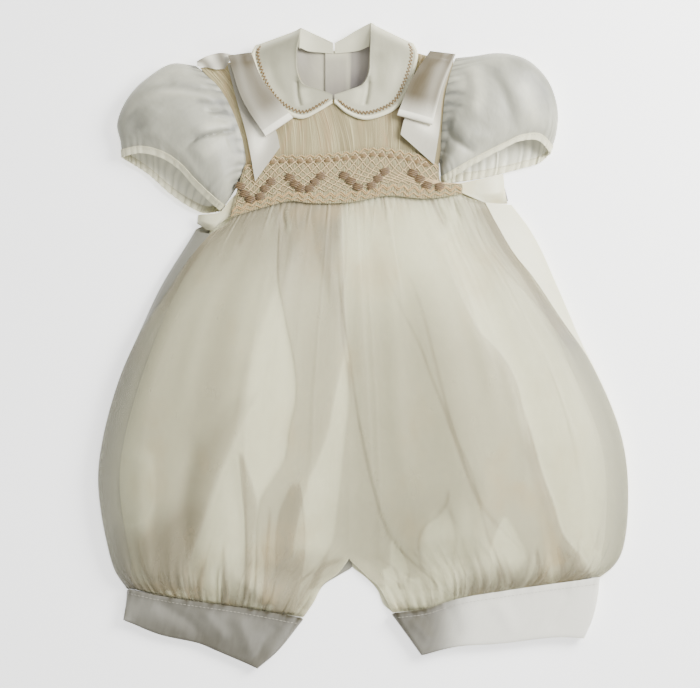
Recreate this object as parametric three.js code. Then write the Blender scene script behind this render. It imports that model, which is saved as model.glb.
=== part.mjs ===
// A child's smocked romper laid flat on its back, front up and neck away, in mm.
// +X is the viewer's right, +Y runs to the neck, +Z is up from the surface it lies on.
// "left" and "right" in names are the viewer's. Every cloth piece is a thin wall of its own.
import * as THREE from 'three';

const { clamp, lerp, smoothstep } = THREE.MathUtils;

// ---- Driving sizes ----
const cloth = 1.2; // thickness of a cloth wall
const ribbonCloth = 1.0; // thickness of the satin ribbon
const cuffCloth = 1.5; // the leg cuffs are cloth doubled over
const seam = 0.3; // gap between pieces sewn edge to edge
const easedSeam = 0.7; // the same gap where the edges curve
const bed = cloth / 2; // middle of a wall that lies on the surface
const leafBed = bed + 0.12; // middle of the collar's back leaf, just off it
const leafLow = 1.5; // the same where it comes down from the shoulder
const backLevel = 2.4; // middle of the back bodice, over buttons and collar
const frontLevel = 11; // middle of the bodice front
const bandLevel = frontLevel + cloth + 0.4; // smocked band, on the insert
const leafLevel = frontLevel + cloth + 0.5; // front leaf of the collar
const rollLevel = leafLevel + 2.8; // crest of its rolled edge
const standLevel = leafLevel - 0.3; // collar stand inside the front neck
const apexLevel = 11; // the roll where it crosses a shoulder
const innerApex = apexLevel - 1.4; // the stand under it
const foldLevel = 7.4; // the leaf's edge where it folds over a shoulder
const tailLevel = bandLevel + 1.5; // ribbon tails, over the band
const loopLevel = tailLevel + 1.4; // lower ply of the folded loops
const loopRise = 2.6; // upper ply over lower ply
const liningDrop = 3.4; // lining below the sheer overlay at its fullest
const edgeDrop = cloth + 0.6; // lining below the overlay at seams
const overlayFloor = 3 * cloth + 0.4; // lowest the overlay lies, over back and lining
const cuffTop = 9.4; // middle of a leg cuff's front wall
const bindingWidth = 5.5; // bias binding on the sleeves
const pipingWidth = 2.4;
const centreFront = -11; // X of the centre front seam
const centreBack = -16; // X of the centre back seam of the bloomer
const crotchAt = 0.8; // share of the way down where the centre seam becomes the inseam
const sideFold = 12; // how far inside the outline the back leaves the surface
const liningInset = 14.5; // lining's side edge inside the outline

// ---- Finishes: colour and roughness ----
const finishes = {
  organza: ['#c8c5b4', 0.55],
  satin: ['#d4d3c6', 0.4],
  lining: ['#dbdacd', 0.45],
  pleated: ['#cdc0a6', 0.75],
  smocked: ['#cdbda0', 0.8],
  collar: ['#cfcec6', 0.6],
  sleeve: ['#cccbc3', 0.6],
  ribbon: ['#bfb8ac', 0.3],
  piping: ['#e2dfd2', 0.6],
  button: ['#eceade', 0.25],
};

// ---- The two legs. Each list runs from the centre outwards or from the waist down ----
const legs = {
  left: {
    side: -1,
    waist: [[-11, 105], [-45, 105.4], [-70, 101.4], [-91, 94], [-99, 87.4], [-109.8, 80.8]],
    backWaist: [[-16, 101], [-60, 98], [-100, 91], [-120.4, 86.4]],
    inseam: [[-10.4, -154.4], [-18.6, -165], [-29.2, -173], [-35.6, -185], [-43.5, -196.5]],
    backInseam: [[-8, -161], [-18.6, -167], [-29.2, -174], [-35.6, -185], [-43.5, -196.5]],
    cuff: [[-43.5, -196.5], [-81.2, -189.8], [-136.4, -182], [-170.2, -175.6]],
    sideSeam: [
      [-109.8, 80.8, 11.2], [-123.9, 64.1, 13.5], [-143.2, 35.3, 13.5], [-161, 8, 12], [-175, -22, 10.5],
      [-187.5, -66, 9.5], [-191, -98, 9.5], [-184.5, -144, 9], [-179, -163, 7.5], [-170.2, -175.6, 5],
    ],
    outline: [
      [-120.4, 86.4], [-149.6, 38.4], [-173, -16.8], [-187.5, -66], [-191, -98], [-184.5, -144],
      [-179, -163], [-170.2, -175.6],
    ],
  },
  right: {
    side: 1,
    waist: [[-11, 105], [17, 110], [45, 107.8], [66, 110], [76, 106.4], [87.5, 103]],
    backWaist: [[-16, 101], [30, 104], [75, 104], [104.6, 102.6]],
    inseam: [[-10.4, -154.4], [1.7, -166], [11, -174.5], [17.5, -186], [21, -193]],
    backInseam: [[-8, -161], [1.7, -168], [10, -177], [14.5, -187.5], [21, -193]],
    cuff: [[21, -193], [44.3, -190], [67, -182.8], [104, -176.5], [170.4, -167.2]],
    sideSeam: [
      [87.5, 103, 11.2], [96.1, 86.4, 13.5], [108, 66.2, 14], [121.3, 49.7, 14], [140.8, 20.9, 13],
      [163.8, -13, 11], [185.4, -64.4, 9.5], [190.6, -105, 9.5], [187, -147, 8.5], [180.5, -159, 7.5],
      [170.4, -167.2, 5],
    ],
    outline: [
      [104.6, 102.6], [117.7, 83.5], [143.6, 33.1], [163.8, -13], [185.4, -64.4], [190.6, -105],
      [187, -147], [180.5, -159], [170.4, -167.2],
    ],
  },
};

// Heights of the bloomer front, from the waist (0) to the cuff (1)
const fullness = [
  { at: 0, crown: 11, centre: 11, crease: 0 },
  { at: 0.012, crown: 11.1, centre: 11.1, crease: 0 },
  { at: 0.04, crown: 13.6, centre: 13, crease: 0.2 },
  { at: 0.09, crown: 17, centre: 14.5, crease: 0.6 },
  { at: 0.2, crown: 24.5, centre: 19, crease: 1 },
  { at: 0.45, crown: 31, centre: 21, crease: 1 },
  { at: 0.65, crown: 31, centre: 15, crease: 1 },
  { at: 0.8, crown: 28, centre: 3.7, crease: 1 },
  { at: 0.92, crown: 21, centre: 3.7, crease: 0.8 },
  { at: 1, crown: 9.4, centre: 4.6, crease: 0 },
];

// Largest folds of the bloomer front: a soft ridge (or a trough) from one place to another
const folds = [
  { from: [-60, 96], to: [-112, -172], width: 15, rise: 3.4 },
  { from: [-14, 40], to: [-48, -150], width: 13, rise: 2.4 },
  { from: [-88, 84], to: [-150, -120], width: 16, rise: -2.2 },
  { from: [30, 98], to: [80, -140], width: 15, rise: 2.6 },
  { from: [62, 100], to: [150, -160], width: 15, rise: -2.8 },
  { from: [84, 70], to: [172, -120], width: 16, rise: 2.4 },
];

// ---- Sleeves: each outline runs from the shoulder side to the underarm side ----
const sleeves = {
  left: {
    armhole: [[-121.8, 202], [-104.3, 184], [-92, 158], [-86.5, 131], [-92.5, 113.5]],
    backArmhole: [[-121.8, 202], [-108, 184], [-97, 158], [-91, 131], [-92.5, 113.5]],
    outline: [
      [-121.8, 202], [-138, 203.5], [-155, 193.5], [-170, 178], [-177.4, 159.6], [-175, 147], [-174, 136],
    ],
    underarm: [[-92.5, 113.5], [-97.5, 105.5], [-103.5, 97.8]],
    cuff: [[-174, 136], [-160, 138.5], [-144.4, 134.8], [-132.1, 126.7], [-120.8, 114.1], [-103.5, 97.8]],
    backCuff: [[-174, 136], [-155.3, 123.8], [-141.5, 111.4], [-127.8, 101.7], [-116, 96.4], [-103.5, 97.8]],
  },
  right: {
    armhole: [[67, 207.6], [60.6, 181], [58.5, 160], [57, 145], [55.3, 132]],
    backArmhole: [[67, 207.6], [64, 181], [62, 160], [59, 145], [55.3, 132]],
    outline: [
      [67, 207.6], [80, 209], [95, 211], [108.7, 209.4], [120, 204.5], [133.4, 189.9], [139.8, 170],
      [138.8, 152.6], [134.5, 139],
    ],
    underarm: [[55.3, 132], [55.8, 124.5], [57.3, 117.3]],
    cuff: [[134.5, 139], [125.3, 147.6], [112, 147], [100.4, 141.8], [78, 130], [57.3, 117.3]],
    backCuff: [[134.5, 139], [128, 132.9], [114.3, 128.6], [86.8, 121.9], [57.3, 117.3]],
  },
};

// Heights of a sleeve from armhole (0) to cuff (1): front, back and folded ends
const puff = [
  { at: 0, top: 11, bottom: 2.4, end: 6.6 },
  { at: 0.18, top: 19, bottom: 1.1, end: 7 },
  { at: 0.45, top: 26, bottom: 0.66, end: 8.5 },
  { at: 0.75, top: 27, bottom: 0.66, end: 9 },
  { at: 1, top: 22, bottom: 0.66, end: 8 },
];

// ---- Bodice ----
const bodice = {
  // front top edge: shoulder, down the U of the neck, up to the other shoulder
  frontTop: [
    { x: -117.5, y: 200 }, { x: -96, y: 204 }, { x: -74, y: 210.5 }, { x: -54, y: 217.5 },
    { x: -47.5, y: 205 }, { x: -40, y: 188 }, { x: -21.5, y: 180 }, { x: -3, y: 188 }, { x: 4, y: 207 },
    { x: 9.5, y: 222 }, { x: 30, y: 213.5 }, { x: 48, y: 208.5 }, { x: 65, y: 205.5 },
  ],
  frontFoot: [[-92, 98.5], [-70, 104], [-45, 108.5], [-11, 108], [17, 113], [45, 111.5], [58, 113]],
  frontLeft: [[-117.5, 200], [-102.8, 183.6], [-91, 158], [-85.4, 131], [-87.5, 112], [-92, 98.5]],
  frontRight: [[65, 205.5], [59.7, 181], [57.6, 160], [56, 145], [54.2, 131], [54.2, 120], [58, 113]],
  bandHead: [[-85.4, 129.5], [-63, 137], [-43.7, 137.5], [-9.7, 140.4], [8, 143], [35.6, 139], [54.2, 130]],
  bandFoot: [
    [-96, 92.2], [-68, 100.5], [-52, 104], [-38, 102.5], [-9.7, 103.1], [17, 107.8], [45, 105.8], [70.6, 109],
  ],
  bandLeft: [[-85.4, 129.5], [-90.6, 112.8], [-96, 92.2]],
  bandRight: [[54.2, 130], [54.8, 117.5], [60, 113.6], [70.6, 109]],
  backHead: {
    left: [[-13, 213.5], [-32, 213.8], [-46, 216], [-58, 215], [-74, 209], [-96, 203.5], [-117.5, 199.5]],
    right: [[-27.5, 213.5], [-6, 214.4], [6, 218], [18, 216.5], [31, 210.4], [48, 206.6], [65, 205]],
  },
  backSide: {
    left: [
      [-117.5, 199.5], [-106.6, 183.5], [-95.8, 158], [-89.9, 131], [-91.2, 112.4], [-103.2, 96],
      [-121, 88.4],
    ],
    right: [
      [65, 205], [62.8, 181], [60.8, 160], [57.4, 145], [53, 131], [52.4, 119], [56, 110.6], [74, 112.6],
      [99, 120], [105, 105],
    ],
  },
  backFoot: {
    left: [[-13, 99], [-60, 95.5], [-100, 88.5], [-121, 88.4]],
    right: [[-27.5, 99], [30, 101.5], [75, 101.5], [105, 105]],
  },
  backEdge: { left: -13, right: -27.5 },
};

const sidePanels = {
  left: {
    head: [[-89.5, 111.4], [-96.6, 104.4], [-103.2, 96.4], [-119.6, 94.6]],
    foot: [[-96.4, 93], [-101.5, 89.4], [-109.8, 83.4], [-120.4, 88.4]],
    inner: [[-89.5, 111.4], [-96.4, 93]],
    outer: [[-119.6, 94.6], [-120.4, 88.4]],
    out: -1,
  },
  right: {
    head: [[61, 115.8], [70.2, 117.2], [86.8, 120.8], [101.2, 124.6]],
    foot: [[72, 110.6], [80, 107.4], [90, 104.6], [104.4, 104.6]],
    inner: [[61, 115.8], [72, 110.6]],
    outer: [[101.2, 124.6], [102.4, 112], [104.4, 104.6]],
    out: 1,
  },
};

// ---- Collar: stand, roll line and outer edge, from centre front over the shoulder to centre back ----
const collars = {
  left: {
    front: {
      stand: [
        [-22.4, 181.4, standLevel], [-33, 186.4, standLevel], [-42.6, 195, standLevel],
        [-46, 212, standLevel - 0.8], [-43.6, 222.5, innerApex],
      ],
      roll: [
        [-22.4, 179.6, rollLevel - 1], [-34, 184, rollLevel], [-44.4, 193, rollLevel],
        [-48.4, 212, rollLevel - 1], [-45, 228.8, apexLevel],
      ],
      edge: [
        [-22.4, 177, leafLevel], [-31.3, 171.4, leafLevel], [-44, 165.8, leafLevel], [-57, 170.8, leafLevel],
        [-68.2, 182, leafLevel], [-75.2, 197, leafLevel], [-78.2, 210, leafLevel - 0.6],
        [-75.8, 217.6, foldLevel],
      ],
    },
    back: {
      stand: [[-43.6, 222.5, innerApex], [-36, 217.5, 6.4], [-28, 215, 5.9], [-22, 214.2, 5.7]],
      roll: [[-45, 228.8, apexLevel], [-36, 225, 7.6], [-28, 221.5, 6.9], [-22, 218.6, 6.5]],
      edge: [
        [-75.8, 217.6, foldLevel], [-77.2, 207, leafLow], [-72, 190, leafBed], [-60, 175, leafBed],
        [-44, 169.6, leafBed], [-28, 172.5, leafBed], [-22.5, 181, leafBed],
      ],
    },
  },
  right: {
    front: {
      stand: [
        [-20.8, 181.4, standLevel], [-10, 185.4, standLevel], [-1.4, 194, standLevel],
        [2.4, 212, standLevel - 0.8], [4.4, 225.5, innerApex],
      ],
      roll: [
        [-20.8, 179.6, rollLevel - 1], [-9, 183, rollLevel], [0.4, 192, rollLevel],
        [4.6, 212, rollLevel - 1], [5.6, 232.6, apexLevel],
      ],
      edge: [
        [-20.8, 177, leafLevel], [-12, 169.6, leafLevel], [0, 165.2, leafLevel], [14, 168.2, leafLevel],
        [23.4, 174, leafLevel], [30.2, 186, leafLevel], [34.8, 199, leafLevel], [36.6, 211, leafLevel - 0.6],
        [33.8, 219.2, foldLevel],
      ],
    },
    back: {
      stand: [[4.4, 225.5, innerApex], [-4, 219.4, 6.4], [-13, 215.4, 5.9], [-20.6, 214.2, 5.7]],
      roll: [[5.6, 232.6, apexLevel], [-5, 227.5, 7.6], [-13, 222.6, 6.9], [-20.6, 218.6, 6.5]],
      edge: [
        [33.8, 219.2, foldLevel], [34.6, 208, leafLow], [29.5, 192, leafBed], [18, 176, leafBed],
        [2, 169.6, leafBed], [-14, 172.5, leafBed], [-20.4, 181, leafBed],
      ],
    },
  },
};

// ---- Shoulder bows: each ply by the two long edges of the ribbon, from the shoulder down ----
const ribbons = {
  left: {
    loop: { near: [[-80.5, 210], [-72, 190], [-51, 164]], far: [[-97, 208], [-86.5, 176], [-70.2, 150.4]] },
    tail: {
      near: [[-84, 206], [-70, 170], [-62, 152], [-60, 142.4]],
      far: [[-97.6, 202], [-91.5, 178], [-83.4, 149.2], [-77.7, 118]],
    },
  },
  right: {
    loop: { near: [[47.5, 211], [34, 190], [24.4, 166]], far: [[66, 209], [56.6, 186], [49.4, 159]] },
    tail: {
      near: [[50, 207], [36, 176], [29, 162], [26.5, 151.6]],
      far: [[64.5, 205], [56.8, 180], [54.8, 158], [50.6, 130]],
    },
  },
  shoulder: {
    head: [[-119.5, 204.4], [-112, 208.4], [-103, 210.6], [-93.6, 209]],
    foot: [[-119.5, 201], [-112, 200], [-106, 198.6], [-99.6, 199]],
  },
};

const legCuffs = {
  left: {
    head: [[-43.9, -197.4], [-81.4, -190.7], [-136.4, -182.9], [-170.3, -176.5]],
    foot: [[-76.7, -232.6], [-106.9, -219.6], [-118.4, -214.8], [-148, -208], [-173, -197.6]],
    inner: [[-43.9, -197.4], [-61.9, -219.8], [-76.7, -232.6]],
    outer: [[-170.3, -176.5], [-171, -185], [-173, -197.6]],
  },
  right: {
    head: [[21, -193.9], [44.3, -190.9], [67, -183.7], [104, -177.4], [170.2, -168.1]],
    foot: [[42.1, -223], [67, -216.8], [98.3, -214.6], [139.6, -210], [159, -210.8]],
    inner: [[21, -193.9], [29.9, -206], [42.1, -223]],
    outer: [[170.2, -168.1], [169, -180], [165, -197], [159, -210.8]],
  },
};

// ---- Small tools ----
const up = new THREE.Vector3(0, 0, 1);

// even steps from one share to another
function steps(count, from = 0, to = 1) {
  return Array.from({ length: count + 1 }, (_, i) => lerp(from, to, i / count));
}

// steps that crowd towards 1, where a panel turns down
function crowded(count) {
  return steps(count).map((t) => Math.sin((t * Math.PI) / 2) ** 0.85);
}

// a smooth line through points, read by its share of length
function line(points, dx = 0, dy = 0) {
  const at = points.map(([x, y, z = 0]) => new THREE.Vector3(x + dx, y + dy, z));
  const curve = new THREE.CatmullRomCurve3(at, false, 'centripetal');
  return (t) => curve.getPointAt(clamp(t, 0, 1));
}

// two lines end to end; the first takes the given share
function chain(first, second, share) {
  return (t) => (t < share ? first(t / share) : second((t - share) / (1 - share)));
}

// a column of a table, read smoothly by its "at" column
function read(rows, key) {
  const slope = (i) => {
    const before = rows[Math.max(i - 1, 0)];
    const after = rows[Math.min(i + 1, rows.length - 1)];
    return (after[key] - before[key]) / (after.at - before.at);
  };
  return (at) => {
    const next = rows.findIndex((row) => row.at >= at);
    const i = clamp((next < 0 ? rows.length : next) - 1, 0, rows.length - 2);
    const span = rows[i + 1].at - rows[i].at;
    const t = clamp((at - rows[i].at) / span, 0, 1);
    const bend = t * t * (3 - 2 * t);
    const rise = span * t * (1 - t) * (slope(i) * (1 - t) - slope(i + 1) * t);
    return lerp(rows[i][key], rows[i + 1][key], bend) + rise;
  };
}

// a cut panel spanned by its four edges: head and foot run across, inner and outer run down
function panel({ head, foot, inner, outer }) {
  return (across, down) => {
    const point = head(across).multiplyScalar(1 - down).addScaledVector(foot(across), down);
    point.addScaledVector(inner(down), 1 - across).addScaledVector(outer(down), across);
    point.addScaledVector(head(0), -(1 - across) * (1 - down));
    point.addScaledVector(head(1), -across * (1 - down));
    return point.addScaledVector(foot(0), -(1 - across) * down).addScaledVector(foot(1), -across * down);
  };
}

function raised(point, z) {
  return point.setZ(z);
}

// ---- Cloth walls ----
// Gives a surface its thickness. at(across, down) is the middle of the cloth; a closed wall joins up
// across. lean holds the direction of the thickness on an edge, where the next piece continues.
function wall(name, finish, { across, down, at, closed = false, lean = {}, thickness = cloth }) {
  const wide = across.length;
  const tall = down.length;
  const middle = down.map((v) => across.map((u) => at(u, v)));
  const step = (j, by) => (closed ? (j + by + wide) % wide : clamp(j + by, 0, wide - 1));
  const outward = (i, j) => {
    const over = middle[i][step(j, 1)].clone().sub(middle[i][step(j, -1)]);
    const along = middle[Math.min(i + 1, tall - 1)][j].clone().sub(middle[Math.max(i - 1, 0)][j]);
    const normal = over.cross(along).normalize();
    const edge = (!closed && j === 0 && lean.inner) || (!closed && j === wide - 1 && lean.outer)
      || (i === 0 && lean.head) || (i === tall - 1 && lean.foot);
    if (!edge) return normal;
    const fixed = (typeof edge === 'function' ? edge(across[j], down[i]) : edge).clone();
    return fixed.dot(normal) < 0 ? fixed.negate() : fixed;
  };
  const points = [];
  for (const face of [0.5, -0.5]) {
    middle.forEach((row, i) => row.forEach((point, j) => {
      points.push(point.clone().addScaledVector(outward(i, j), face * thickness));
    }));
  }
  const back = wide * tall;
  const cells = closed ? wide : wide - 1;
  const faces = [];
  const quad = (a, b, c, d) => faces.push(a, b, c, a, c, d);
  for (let i = 0; i < tall - 1; i += 1) {
    for (let j = 0; j < cells; j += 1) {
      const a = i * wide + j;
      const b = i * wide + ((j + 1) % wide);
      quad(a, a + wide, b + wide, b);
      quad(back + a, back + b, back + b + wide, back + a + wide);
    }
    if (!closed) {
      const first = i * wide;
      const last = first + wide - 1;
      quad(first, back + first, back + first + wide, first + wide);
      quad(last, last + wide, back + last + wide, back + last);
    }
  }
  for (let j = 0; j < cells; j += 1) {
    const next = (j + 1) % wide;
    const foot = (tall - 1) * wide;
    quad(j, next, back + next, back + j);
    quad(foot + j, back + foot + j, back + foot + next, foot + next);
  }
  return mesh(name, finish, points, faces);
}

// A mesh of points and triangles, turned so that its faces point out
function mesh(name, finish, points, faces) {
  let volume = 0;
  for (let i = 0; i < faces.length; i += 3) {
    const [a, b, c] = [points[faces[i]], points[faces[i + 1]], points[faces[i + 2]]];
    volume += a.dot(b.clone().cross(c));
  }
  const index = volume < 0 ? faces.map((_, i) => faces[i - (i % 3) + (2 - (i % 3))]) : faces;
  const geometry = new THREE.BufferGeometry();
  geometry.setAttribute('position', new THREE.Float32BufferAttribute(points.flatMap((p) => p.toArray()), 3));
  geometry.setIndex(index);
  geometry.computeVertexNormals();
  return named(name, finish, geometry);
}

function named(name, finish, geometry) {
  const [color, roughness] = finishes[finish];
  const made = new THREE.Mesh(geometry, new THREE.MeshStandardMaterial({ color, roughness, metalness: 0 }));
  made.name = name;
  return made;
}

// ---- Bloomer ----
const crownAt = read(fullness, 'crown');
const centreAt = read(fullness, 'centre');
const creaseAt = read(fullness, 'crease');
const legColumns = [0, 0.09, 0.2, 0.33, 0.47, 0.61, 0.74, 0.86, 0.95, 1];
const legRows = [
  0, 0.012, 0.04, 0.09, 0.16, 0.24, 0.33, 0.42, 0.51, 0.6, 0.68, 0.75, 0.8, 0.85, 0.9, 0.95, 1,
];

// height that the largest folds add at a place
function foldRise(x, y) {
  let sum = 0;
  for (const { from, to, width, rise } of folds) {
    const run = new THREE.Vector2(to[0] - from[0], to[1] - from[1]);
    const here = new THREE.Vector2(x - from[0], y - from[1]);
    const along = clamp(here.dot(run) / run.lengthSq(), 0, 1);
    const off = here.addScaledVector(run, -along).length();
    const ends = smoothstep(along, 0, 0.25) * (1 - smoothstep(along, 0.75, 1));
    sum += rise * Math.exp(-((off / width) ** 2)) * ends;
  }
  return sum;
}

// everything about one leg that its three layers share
function legShape(key) {
  const spec = legs[key];
  const half = (spec.side * seam) / 2;
  const top = spec.waist[0][1];
  const crotch = spec.inseam[0];
  const centre = line([[centreFront + half, top], [crotch[0] + half, crotch[1]]]);
  const inseam = line(spec.inseam, half);
  const sideSeam = line(spec.sideSeam);
  const outline = line(spec.outline);
  const plan = panel({
    head: line([[centreFront + half, top], ...spec.waist.slice(1)]),
    foot: line([[spec.cuff[0][0] + half, spec.cuff[0][1]], ...spec.cuff.slice(1)]),
    inner: chain(centre, inseam, crotchAt),
    outer: (t) => raised(sideSeam(t), 0),
  });
  const out = (v) => raised(outline(v).sub(plan(0.6, v)), 0).normalize();
  const turned = (v) => smoothstep(v, 0.12, 0.42); // 0: the side seam faces up, 1: it faces out
  const sideLean = (_, v) => out(v).multiplyScalar(turned(v)).addScaledVector(up, 1 - turned(v)).normalize();
  const towardsFront = (v) => out(v).multiplyScalar(turned(v) - 1).addScaledVector(up, turned(v)).normalize();
  const frontHeight = (u, v, x, y) => {
    const side = sideSeam(v).z;
    const dome = Math.sqrt(1 - u ** 4.5);
    const dipReach = lerp(0.5, 0.2, smoothstep(v, 0.86, 1));
    const dip = 1 - smoothstep(u, 0, dipReach);
    const crease = creaseAt(v) * foldRise(x, y) * smoothstep(u, 0, 0.18) * (1 - smoothstep(u, 0.78, 1));
    const full = side + (crownAt(v) - side) * dome;
    return Math.max(overlayFloor, full - (crownAt(v) - centreAt(v)) * dip + crease);
  };
  return { plan, outline, sideSeam, out, sideLean, towardsFront, frontHeight };
}

function overlayFront(key) {
  const { plan, sideLean, towardsFront, frontHeight } = legShape(key);
  return wall(`overlay_front_${key}`, 'organza', {
    across: legColumns,
    down: legRows,
    lean: { head: up, foot: up, inner: up, outer: sideLean },
    at: (u, v) => {
      const point = plan(u, v);
      point.z = frontHeight(u, v, point.x, point.y);
      return u === 1 ? point.addScaledVector(towardsFront(v), easedSeam / 2) : point;
    },
  });
}

function liningFront(key) {
  const { plan, outline, out, sideSeam, frontHeight } = legShape(key);
  const edge = (v) => {
    const inset = lerp(liningInset, 6, smoothstep(v, 0.9, 1));
    return outline(v).addScaledVector(out(v), -inset);
  };
  return wall(`lining_front_${key}`, 'lining', {
    across: legColumns,
    down: legRows,
    lean: { head: up, foot: up, inner: up, outer: (_, v) => out(v) },
    at: (u, v) => {
      const reach = plan(u, v);
      const over = frontHeight(u, v, reach.x, reach.y);
      const point = reach.clone().addScaledVector(edge(v).sub(plan(1, v)), u ** 3);
      const full = Math.min(smoothstep(u, 0, 0.2), smoothstep(v, 0, 0.12), 1 - smoothstep(v, 0.88, 1));
      const drop = lerp(edgeDrop, liningDrop, full);
      const seat = lerp(backLevel + cloth, cloth + 0.1, smoothstep(v, 0.02, 0.06)) + seam;
      const atCuff = smoothstep(v, 0.86, 1);
      const top = over - drop - 0.4 * (1 - atCuff) * (sideSeam(v).z - seat) * smoothstep(u, 0.5, 1);
      const hang = Math.sqrt(1 - u ** lerp(6, 20, atCuff)); // drops to stand on the back panel
      return raised(point, u === 1 ? seat : Math.max(seat + cloth / 2, lerp(seat, top, hang)));
    },
  });
}

function bloomerBack(key) {
  const spec = legs[key];
  const { outline, out, sideSeam, sideLean, towardsFront } = legShape(key);
  const half = (spec.side * seam) / 2;
  const waist = [[centreBack + half, spec.backWaist[0][1]], ...spec.backWaist.slice(1)];
  const crotch = spec.backInseam[0];
  const centre = line([waist[0], [crotch[0] + half, crotch[1]]]);
  const plan = panel({
    head: line(waist),
    foot: line([[spec.cuff[0][0] + half, spec.cuff[0][1]], ...spec.cuff.slice(1)]),
    inner: chain(centre, line(spec.backInseam, half), crotchAt),
    outer: outline,
  });
  const flat = 5; // cells that lie on the surface; the rest turn up round the side
  const turn = 4;
  return wall(`bloomer_back_${key}`, 'satin', {
    across: steps(flat + turn),
    down: legRows,
    lean: { head: up, foot: up, inner: up, outer: sideLean },
    at: (u, v) => {
      const share = (u * (flat + turn)) / flat;
      const inset = lerp(sideFold, 3, smoothstep(v, 0.93, 1));
      const foldLine = 1 - inset / outline(v).distanceTo(plan(0, v));
      if (share <= 1) return raised(plan(share * foldLine, v), bed);
      const t = ((share - 1) * flat) / turn;
      const start = raised(plan(foldLine, v), bed);
      const end = sideSeam(v).addScaledVector(towardsFront(v), -easedSeam / 2);
      const overlap = raised(outline(v).sub(end), 0).length();
      const bulge = raised(outline(v).addScaledVector(out(v), overlap * 1.15), lerp(bed, end.z, 0.18));
      return new THREE.QuadraticBezierCurve3(start, bulge, end).getPoint(t);
    },
  });
}

// ---- Tubes: a front and a back wall that meet at two folded ends ----
function tube(front, back, heights) {
  const square = (open) => Math.sqrt(1 - (1 - Math.min(1, open * 1.8)) ** 2); // flat, with round corners
  const round = (open) => open ** 0.75;
  return (turn, down) => {
    const angle = turn * Math.PI * 2;
    const share = (1 - Math.cos(angle)) / 2;
    const open = Math.abs(Math.sin(angle));
    if (turn > 0.5) {
      return raised(back(share, down), lerp(heights.end(down), heights.bottom(down), square(open)));
    }
    const dome = heights.round ? round(open) : square(open);
    return raised(front(share, down), lerp(heights.end(down), heights.top(down), dome));
  };
}

function ringSteps(count) {
  return steps(count).slice(0, count);
}

function legCuff(key) {
  const spec = legCuffs[key];
  const cut = panel({
    head: line(spec.head), foot: line(spec.foot), inner: line(spec.inner), outer: line(spec.outer),
  });
  const middle = cuffCloth / 2;
  const heights = { top: () => cuffTop, bottom: () => middle, end: () => (cuffTop + middle) / 2 };
  return wall(`leg_cuff_${key}`, 'satin', {
    across: ringSteps(20),
    down: steps(3),
    closed: true,
    thickness: cuffCloth,
    at: tube(cut, cut, heights),
  });
}

function sleeveShape(key) {
  const spec = sleeves[key];
  const sides = { inner: line(spec.outline), outer: line(spec.underarm) };
  const [top, bottom, end] = ['top', 'bottom', 'end'].map((part) => read(puff, part));
  const heights = { top, bottom, end, round: true };
  const whole = tube(
    panel({ head: line(spec.armhole), foot: line(spec.cuff), ...sides }),
    panel({ head: line(spec.backArmhole), foot: line(spec.backCuff), ...sides }),
    heights,
  );
  // share of the way down at which a given length is left before the cuff edge
  const before = (turn, length) => {
    const marks = steps(12).map((v) => whole(turn, v));
    const total = marks.slice(1).reduce((sum, mark, i) => sum + mark.distanceTo(marks[i]), 0);
    return 1 - length / total;
  };
  return { whole, before };
}

function sleeve(key) {
  const { whole, before } = sleeveShape(key);
  return wall(`sleeve_${key}`, 'sleeve', {
    across: ringSteps(22),
    down: steps(7),
    closed: true,
    at: (turn, v) => whole(turn, v * before(turn, bindingWidth + easedSeam)),
  });
}

function sleeveBinding(key) {
  const { whole, before } = sleeveShape(key);
  return wall(`sleeve_binding_${key}`, 'piping', {
    across: ringSteps(22),
    down: steps(1),
    closed: true,
    at: (turn, v) => whole(turn, lerp(before(turn, bindingWidth), 1, v)),
  });
}

// ---- Bodice ----
// at the shoulders the front slopes down and the back rises, until they meet
const shoulderDrop = 3;
const shoulderRise = 2.6;
const shoulderSlope = (y) => smoothstep(y, 192, 218);

function chestPanel() {
  const columns = bodice.frontTop;
  const first = columns[0].x;
  const spread = columns[columns.length - 1].x - first;
  const shares = columns.map(({ x }) => (x - first) / spread);
  const top = (share) => {
    const next = clamp(shares.findIndex((value) => value >= share), 1, shares.length - 1);
    const t = (share - shares[next - 1]) / (shares[next] - shares[next - 1]);
    const [before, after] = [columns[next - 1], columns[next]];
    return new THREE.Vector3(lerp(before.x, after.x, t), lerp(before.y, after.y, t), 0);
  };
  const cut = panel({
    head: top, foot: line(bodice.frontFoot), inner: line(bodice.frontLeft), outer: line(bodice.frontRight),
  });
  return wall('chest_panel', 'pleated', {
    across: shares,
    down: steps(8),
    lean: { head: up, foot: up, inner: up, outer: up },
    at: (u, v) => {
      const point = cut(u, v);
      return raised(point, frontLevel - shoulderDrop * shoulderSlope(point.y));
    },
  });
}

function smockedBand() {
  const cut = panel({
    head: line(bodice.bandHead), foot: line(bodice.bandFoot),
    inner: line(bodice.bandLeft), outer: line(bodice.bandRight),
  });
  return wall('smocked_band', 'smocked', {
    across: steps(16),
    down: steps(3),
    at: (u, v) => raised(cut(u, v), bandLevel),
  });
}

function sidePanel(key) {
  const spec = sidePanels[key];
  const cut = panel({
    head: line(spec.head), foot: line(spec.foot), inner: line(spec.inner), outer: line(spec.outer),
  });
  const seat = backLevel + cloth / 2 + seam + 0.1; // its edge stands on the back bodice
  const out = new THREE.Vector3(spec.out, 0, 0);
  return wall(`side_panel_${key}`, 'satin', {
    across: crowded(6),
    down: steps(3),
    lean: { head: up, foot: up, inner: up, outer: out },
    at: (u, v) => raised(cut(u, v), lerp(seat, frontLevel, Math.sqrt(1 - u ** 4))),
  });
}

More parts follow.
